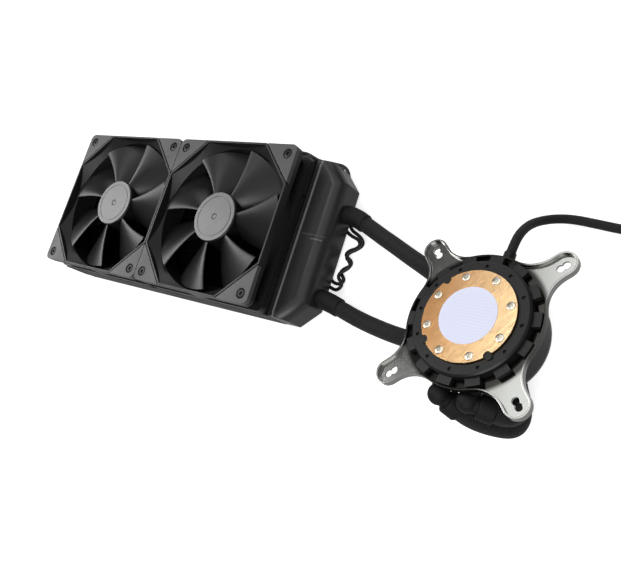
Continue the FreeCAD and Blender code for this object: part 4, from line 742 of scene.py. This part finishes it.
cable = {
    "radius": 2.8, "sides": 18, "gland": (3, 47, 15), "straight": 10, "coilCentre": (362, 70),
    "coilRadius": 31, "perTurn": 16, "turns": 1.5, "firstAngle": -90, "climb": 2.02,
    "climbFrom": 0.75, "climbOver": 0.3,
    "route": [(284.4, 27.5, 24.5), (286.6, 35, 14.6), (293.2, 40.6, 6.6), (303, 42.6, 3.3),
              (316, 41.4, 2.8), (332, 39.4, 2.8), (347, 39, 2.8)],
}
mouth = pumpPoint(*cable["gland"])
cablePoints = [tuple(mouth), tuple(mouth + Vector(pump["along"]) * cable["straight"])] + cable["route"]
perTurn = cable["perTurn"]
outward = cable["coilRadius"] * 2 / (1 + cos(2 * pi / perTurn))
lastStep = int(perTurn * cable["turns"])
for step in range(lastStep + 1):
    turn = radians(cable["firstAngle"] + step * 360 / perTurn)
    climb = min(max((step - perTurn * cable["climbFrom"]) / (perTurn * cable["climbOver"]), 0), 1)
    size = outward if 0 < step < lastStep else cable["coilRadius"]
    cablePoints.append((cable["coilCentre"][0] + size * cos(turn),
                        cable["coilCentre"][1] + size * sin(turn),
                        cable["radius"] * (1 + cable["climb"] * climb)))
line = smoothLine(cablePoints)
mesh = tubeMesh("pumpCableBraid", line, cable["radius"] * mm, finish["cable"], cable["sides"])
pumpCable = addPiece("pumpCableBraid", mesh, "cooler", ("pump_cable", "pump_cable_coil"))

leads = {
    "radius": 1.3, "sides": 12,
    "fan2": [(98, 60, 31), (98, 64, 30.8), (100.6, 65.6, 26), (105, 65.4, 18), (110.6, 64.6, 10.6),
             (117.4, 64.2, 6), (125.2, 64.4, 3), (128.8, 60.2, 1.5), (131, 53, 1.5), (133.6, 44, 1.5),
             (137, 34, 1.5), (140.4, 24.8, 1.5), (145, 17, 1.5), (151.6, 13.4, 1.5), (158, 11.8, 1.5),
             (161, 8.2, 1.5), (159, 4.8, 1.5), (153.4, 2.6, 1.5), (151.2, -0.8, 1.5), (154.2, -3, 1.5),
             (158.2, -5.2, 1.5), (158.4, -8.6, 1.5), (154, -11, 1.5), (151.4, -14.2, 1.5),
             (154.4, -16.8, 1.5), (157, -19.8, 1.5), (154, -23.2, 1.5), (147.4, -22.6, 1.5),
             (141.8, -16, 1.5), (137.6, -5, 1.5), (134, 7, 1.5), (130.8, 19, 1.5), (128.4, 31, 1.5),
             (126.4, 43, 1.5), (124.6, 53, 1.5), (123.8, 61, 1.5), (119.6, 64.9, 1.5), (111, 66, 1.5),
             (101, 66.4, 1.5), (94, 68.4, 1.5), (86, 68.6, 1.5)],
    "fan1": [(-22, 60, 31), (-22, 64, 30.8), (-20.4, 68, 26), (-17, 70.4, 17), (-12.6, 72.4, 8.5),
             (-5, 74.4, 3), (5, 75.6, 1.7), (20, 76.6, 1.5), (40, 76, 1.5), (60, 76.8, 1.5),
             (76, 76.5, 1.5), (86, 76, 1.5), (93, 73.4, 1.5), (100.6, 70.2, 1.5), (110, 69.4, 1.5),
             (118.6, 68.2, 1.5), (125.6, 67.2, 1.5), (131.4, 62.6, 1.5), (135, 54, 1.5),
             (138.6, 44, 1.5), (142.4, 33, 1.5), (145.8, 23, 1.5), (150.4, 17.8, 1.6),
             (156.4, 15.2, 3.8), (162.6, 12, 4.2), (165.4, 7.4, 4.2), (161, 3.2, 4.2),
             (155.4, 0.2, 4.2), (154.2, -3.6, 4.2), (158, -6, 4.2), (160.2, -9.4, 4.2),
             (157, -12.8, 4.2), (152.8, -15.6, 4.2), (153, -19.4, 4.2), (157.2, -21.8, 4.2),
             (157.8, -25.2, 4.2), (154, -28, 3), (149.4, -27.2, 1.6), (144, -25.4, 1.5),
             (138, -21, 1.5), (133, -13, 1.5), (129, -2, 1.5), (126.4, 10, 1.5), (124.2, 22, 1.5),
             (122.6, 34, 1.5), (121.4, 46, 1.5), (120.8, 55, 1.5), (120.4, 60.8, 1.5),
             (115.6, 62.2, 1.5), (106, 62.2, 1.5), (94, 62, 1.5), (84, 62.2, 1.5), (73, 62, 1.5),
             (66.5, 64, 1.5), (60, 67.6, 1.5), (50, 68, 1.5)],
}
for label in ("fan2", "fan1"):
    line = smoothLine(leads[label])
    mesh = tubeMesh(label + "LeadSleeve", line, leads["radius"] * mm, finish["leadSleeve"],
                    leads["sides"])
    lead = addPiece(label + "LeadSleeve", mesh, "cooler", label + "_lead")
print("cords laid")


# pieces grown by node trees
def growTree(name, inputs):
    shape = ("Geometry", "Geometry")
    return newTree("Geometry", name, [shape] + inputs, [shape])


def finishTree(tree, end, geometry, material):
    real = grow(tree, "GeometryNodeRealizeInstances", {"Geometry": geometry})
    painted = grow(tree, "GeometryNodeSetMaterial", {"Geometry": real.outputs[0], "Material": material})
    tree.links.new(painted.outputs[0], end.inputs[0])


def grown(name, tree, values, seedMesh=None):  # the mesh that a node tree makes from a seed
    holder = newObject(name, seedMesh or bpy.data.meshes.new(name + "Seed"))
    modifier = holder.modifiers.new("grow", "NODES")
    modifier.node_group = tree
    for item in tree.interface.items_tree:
        if item.in_out == "INPUT" and item.name in values:
            modifier[item.identifier] = values[item.name]
    mesh = settledMesh(holder)
    bm = bmesh.new()
    bm.from_mesh(mesh)
    bmesh.ops.remove_doubles(bm, verts=bm.verts, dist=soften["weld"])
    bmesh.ops.recalc_face_normals(bm, faces=bm.faces)
    painted = [material for material in mesh.materials if material]
    grownMesh = meshFrom(bm, name, painted[-1], 35)
    bpy.data.meshes.remove(mesh)
    return grownMesh


def finTree(material):  # one folded strip between two tubes, repeated up the core
    tree, start, end = growTree("foldedFins", [("Left", "Float"), ("Right", "Float"), ("Folds", "Int"),
                                               ("Strip Height", "Float"), ("Row Step", "Float"),
                                               ("Rows", "Int"), ("Depth", "Float"), ("Gauge", "Float")])
    value = start.outputs
    points = plus(tree, times(tree, value["Folds"], 2.0), 1.0)
    strip = grow(tree, "GeometryNodeMeshLine", {"Count": points})
    index = grow(tree, "GeometryNodeInputIndex").outputs[0]
    share = divide(tree, index, minus(tree, points, 1.0))
    along = plus(tree, value["Left"], times(tree, share, minus(tree, value["Right"], value["Left"])))
    crest = times(tree, math(tree, "MODULO", index, 2.0),
                  minus(tree, value["Strip Height"], value["Gauge"]))
    place = put(tree, "CombineXYZ", {"X": along,
                                     "Y": plus(tree, crest, times(tree, value["Gauge"], 0.5))})
    folded = grow(tree, "GeometryNodeSetPosition", {"Geometry": strip.outputs[0],
                                                    "Position": place.outputs[0]})
    curve = grow(tree, "GeometryNodeMeshToCurve", {"Mesh": folded.outputs[0]})
    upright = grow(tree, "GeometryNodeSetCurveNormal", {"Curve": curve.outputs[0]}, mode="Z_UP")
    section = grow(tree, "GeometryNodeCurvePrimitiveQuadrilateral", {
        "Width": value["Gauge"], "Height": value["Depth"]})
    sheet = grow(tree, "GeometryNodeCurveToMesh", {"Curve": upright.outputs[0],
                                                   "Profile Curve": section.outputs[0],
                                                   "Fill Caps": True})
    step = put(tree, "CombineXYZ", {"Y": value["Row Step"]})
    rows = grow(tree, "GeometryNodeMeshLine", {"Count": value["Rows"], "Offset": step.outputs[0]})
    copies = grow(tree, "GeometryNodeInstanceOnPoints", {"Points": rows.outputs[0],
                                                         "Instance": sheet.outputs[0]})
    finishTree(tree, end, copies.outputs[0], material)
    return tree


def bladeTree(material):  # a bowed aerofoil blade, turned round the hub that comes in
    names = ["Root Radius", "Tip Radius", "Span", "Sweep", "Phase", "Front", "Back", "Gauge"]
    tree, start, end = growTree("fanBlades", [("Blades", "Int")] + [(n, "Float") for n in names])
    value = start.outputs
    rows, around, bow, fullness = 18, 33, 1.65, 0.42
    sheet = grow(tree, "GeometryNodeMeshGrid", {"Vertices X": rows, "Vertices Y": around,
                                                "Size X": 1.0, "Size Y": 1.0})
    index = grow(tree, "GeometryNodeInputIndex").outputs[0]
    row = math(tree, "FLOOR", divide(tree, plus(tree, index, 0.5), float(around)))
    spot = minus(tree, index, times(tree, row, float(around)))
    out = divide(tree, minus(tree, row, 1.0), rows - 3.0)
    out = math(tree, "MAXIMUM", math(tree, "MINIMUM", out, 1.0), 0.0)
    length = minus(tree, value["Tip Radius"], value["Root Radius"])
    radius = plus(tree, value["Root Radius"], times(tree, out, length))
    turn = times(tree, spot, 2 * pi / (around - 1))
    chord = times(tree, minus(tree, 1.0, math(tree, "COSINE", turn)), 0.5)
    lean = times(tree, value["Sweep"], minus(tree, 1.0, out))
    angle = minus(tree, minus(tree, value["Phase"], lean), times(tree, value["Span"], chord))
    drop = times(tree, math(tree, "POWER", chord, bow), minus(tree, value["Front"], value["Back"]))
    closing = times(tree, math(tree, "LESS_THAN", row, rows - 1.5), math(tree, "GREATER_THAN", row, 0.5))
    half = times(tree, math(tree, "SINE", turn), times(tree, value["Gauge"], fullness))
    middle = minus(tree, minus(tree, value["Front"], drop), times(tree, value["Gauge"], 0.5))
    level = plus(tree, middle, times(tree, half, closing))
    place = put(tree, "CombineXYZ", {
        "X": times(tree, radius, math(tree, "COSINE", angle)),
        "Y": times(tree, radius, math(tree, "SINE", angle)), "Z": level})
    blade = grow(tree, "GeometryNodeSetPosition", {"Geometry": sheet.outputs[0],
                                                   "Position": place.outputs[0]})
    closed = grow(tree, "GeometryNodeMergeByDistance", {"Geometry": blade.outputs[0],
                                                        "Distance": soften["weld"]})
    ring = grow(tree, "GeometryNodeMeshLine", {"Count": value["Blades"], "Offset": (0.0, 0.0, 0.0)})
    number = grow(tree, "GeometryNodeInputIndex").outputs[0]
    share = divide(tree, number, value["Blades"])
    spin = put(tree, "CombineXYZ", {"Z": times(tree, share, 2 * pi)})
    copies = grow(tree, "GeometryNodeInstanceOnPoints", {
        "Points": ring.outputs[0], "Instance": closed.outputs[0], "Rotation": spin.outputs[0]})
    whole = grow(tree, "GeometryNodeJoinGeometry")
    tree.links.new(copies.outputs[0], whole.inputs[0])
    tree.links.new(value["Geometry"], whole.inputs[0])
    finishTree(tree, end, whole.outputs[0], material)
    return tree


def circleTree(name, material):  # the incoming piece repeated round a circle
    tree, start, end = growTree(name, [("Count", "Int"), ("Radius", "Float"), ("Phase", "Float")])
    value = start.outputs
    ring = grow(tree, "GeometryNodeMeshCircle", {"Vertices": value["Count"], "Radius": value["Radius"]})
    spin = put(tree, "CombineXYZ", {"Z": value["Phase"]})
    turned = grow(tree, "GeometryNodeTransform", {"Geometry": ring.outputs[0],
                                                  "Rotation": spin.outputs[0]})
    copies = grow(tree, "GeometryNodeInstanceOnPoints", {"Points": turned.outputs[0],
                                                         "Instance": value["Geometry"]})
    finishTree(tree, end, copies.outputs[0], material)
    return tree


def squareTree(name, material):  # the incoming piece at the corners of a square
    tree, start, end = growTree(name, [("Side", "Float")])
    value = start.outputs
    corners = grow(tree, "GeometryNodeMeshGrid", {"Size X": value["Side"], "Size Y": value["Side"],
                                                  "Vertices X": 2, "Vertices Y": 2})
    copies = grow(tree, "GeometryNodeInstanceOnPoints", {"Points": corners.outputs[0],
                                                         "Instance": value["Geometry"]})
    finishTree(tree, end, copies.outputs[0], material)
    return tree


fins = {"left": -115.38, "right": 118.38, "folds": 112, "firstRow": -59.2, "tubes": 12, "tube": 2.0,
        "gap": 0.12, "room": 118.4, "depth": 20.0, "floor": 3.5, "gauge": 0.16}
rowHeight = (fins["room"] - fins["tubes"] * fins["tube"]) / (fins["tubes"] + 1)
finMesh = grown("foldedFins", finTree(finish["fin"]), {
    "Left": fins["left"] * mm, "Right": fins["right"] * mm, "Folds": fins["folds"],
    "Strip Height": (rowHeight - 2 * fins["gap"]) * mm, "Row Step": (rowHeight + fins["tube"]) * mm,
    "Rows": fins["tubes"] + 1, "Depth": fins["depth"] * mm, "Gauge": fins["gauge"] * mm})
finMesh.transform(Matrix.Translation((0, (fins["firstRow"] + fins["gap"]) * mm,
                                      (fins["floor"] + fins["depth"] / 2) * mm)))
addPiece("foldedFins", finMesh, "cooler", "core_fins")

rotor = {
    "blades": 7, "rootRadius": 18.9, "tipRadius": 56.3, "span": 43, "sweep": 10, "phase": 25.7,
    "front": 21.0, "back": 8.2, "gauge": 1.6, "level": 27.0, "sides": 72,
    "centres": {"fan1": -60, "fan2": 60},
    "hub": [(1.52, 21.5), (18.4, 21.5), (19.0, 21.4), (19.5, 21.15), (19.85, 20.7), (20, 20.1),
            (20, 7.5), (18.5, 7.5), (18.5, 20), (3, 20), (3, 15), (1.52, 15)],
}
bladesTree = bladeTree(finish["blade"])
for fan, centre in rotor["centres"].items():
    hubMesh = meshFrom(lathe(rotor["hub"], rotor["sides"]), fan + "Hub", finish["blade"])
    mesh = grown(fan + "Blades", bladesTree, {
        "Blades": rotor["blades"], "Root Radius": rotor["rootRadius"] * mm,
        "Tip Radius": rotor["tipRadius"] * mm, "Span": radians(rotor["span"]),
        "Sweep": radians(rotor["sweep"]), "Phase": radians(rotor["phase"]),
        "Front": rotor["front"] * mm, "Back": rotor["back"] * mm, "Gauge": rotor["gauge"] * mm},
        hubMesh)
    mesh.transform(Matrix.Translation((centre * mm, 0, rotor["level"] * mm)))
    addPiece(fan + "Blades", mesh, fan + "_rotor_set", fan + "_rotor")

screws = {
    "square": 105, "top": 51.6, "headTop": 1.15, "sides": 28,
    "profile": [(0, 0.2), (1.1, 0.2), (1.35, 0.95), (1.5, 1.15), (2.6, 1.15), (3.15, 1.0), (3.4, 0.6),
                (3.4, -1.05), (1.7, -1.05), (1.7, -26.2), (0, -26.2)],
}
cornerTree = squareTree("fanScrews", finish["screw"])
for fan, centre in rotor["centres"].items():
    seed = meshFrom(lathe(screws["profile"], screws["sides"]), fan + "Screw", finish["screw"])
    mesh = grown(fan + "Screws", cornerTree, {"Side": screws["square"] * mm}, seed)
    mesh.transform(Matrix.Translation((centre * mm, 0, (screws["top"] - screws["headTop"]) * mm)))
    addPiece(fan + "ScrewSet", mesh, "cooler", fan + "_screws")

plateScrews = {
    "count": 8, "ring": 24.1, "phase": 22.5, "sides": 28,
    "profile": [(0, -0.62), (0.75, -0.6), (0.95, -0.12), (1.05, -0.02), (1.9, -0.02), (2.25, -0.12),
                (2.4, -0.4), (2.4, -1.15), (1.1, -1.15), (1.1, -8), (0, -8)],
}
seed = meshFrom(lathe(plateScrews["profile"], plateScrews["sides"]), "plateScrew", finish["plateScrew"])
mesh = grown("plateScrews", circleTree("plateScrewRing", finish["plateScrew"]), {
    "Count": plateScrews["count"], "Radius": plateScrews["ring"] * mm,
    "Phase": radians(plateScrews["phase"])}, seed)
mesh.transform(pumpMatrix)
addPiece("plateScrewSet", mesh, "cooler", "cold_plate_screws")
print("repeating pieces grown")

# solids whose edges are softened
dressed = {
    "fan1_frame": ("frame", 0.25), "fan2_frame": ("frame", 0.25), "fan1_corner_pads": ("pad", 0.35),
    "fan2_corner_pads": ("pad", 0.35), "mounting_bracket": ("nickel", 0.3),
    "pump_housing": ("block", 0.2), "port_tank": ("tank", 0.5), "return_tank": ("case", 0.5),
    "pump_collars": ("collar", 0.4), "cold_plate": ("copper", 0.12),
    "cable_gland": ("black", 0.2), "upper_side_plate": ("case", 0.2), "lower_side_plate": ("case", 0.2),
    "pump_cable_plug": ("black", 0.3), "fan1_lead_plug": ("black", 0.3), "fan2_lead_plug": ("black", 0.3),
}
ears = {"from": 0.0344, "to": 0.0446}


def offTheEars(edge):  # all but the hidden rings where a fan's barrel meets its ears
    return not all(ears["from"] < vert.co.z < ears["to"] for vert in edge.verts)


for node, (key, width) in dressed.items():
    dressNode(node, finish[key], width, chosen=offTheEars if node.endswith("_frame") else None)
print("edges softened:", len(dressed))

# finishes for the solids that stay as they are
plain = {
    "core_tubes": "fin", "core_fins": "fin", "return_header_plate": "fin", "port_header_plate": "fin",
    "upper_side_plate": "case", "lower_side_plate": "case", "port_tank": "tank", "return_tank": "case",
    "fill_plug": "black", "tank_spigots": "brass", "tank_collars": "collar", "pump_housing": "block",
    "pump_cap": "cap", "cold_plate": "copper", "cold_plate_screws": "steel", "cold_plate_seal": "seal",
    "thermal_compound": "compound", "jet_plate": "wheel", "impeller": "wheel",
    "impeller_magnet": "magnet", "impeller_shaft": "ceramic", "pump_stator": "winding",
    "pump_circuit_board": "board", "inlet_elbow": "collar", "outlet_elbow": "collar",
    "elbow_seals": "seal", "pump_collars": "collar", "mounting_bracket": "nickel",
    "cable_gland": "black", "pump_cable_plug": "black",
}
for fan in ("fan1", "fan2"):
    plain.update({
        fan + "_frame": "frame", fan + "_corner_pads": "pad", fan + "_screws": "screw",
        fan + "_stator": "winding", fan + "_circuit_board": "board", fan + "_bearing": "bearing",
        fan + "_rotor": "blade", fan + "_magnet_ring": "magnet", fan + "_shaft": "steel",
        fan + "_hub_disc": "hub" + fan[-1], fan + "_lead_plug": "black"})
for node, key in plain.items():
    mesh = nodes[node].data
    if not mesh.materials:
        mesh.materials.append(finish[key])
    for slot in nodes[node].material_slots:
        slot.material = finish[key]
print("solids finished:", len(plain))
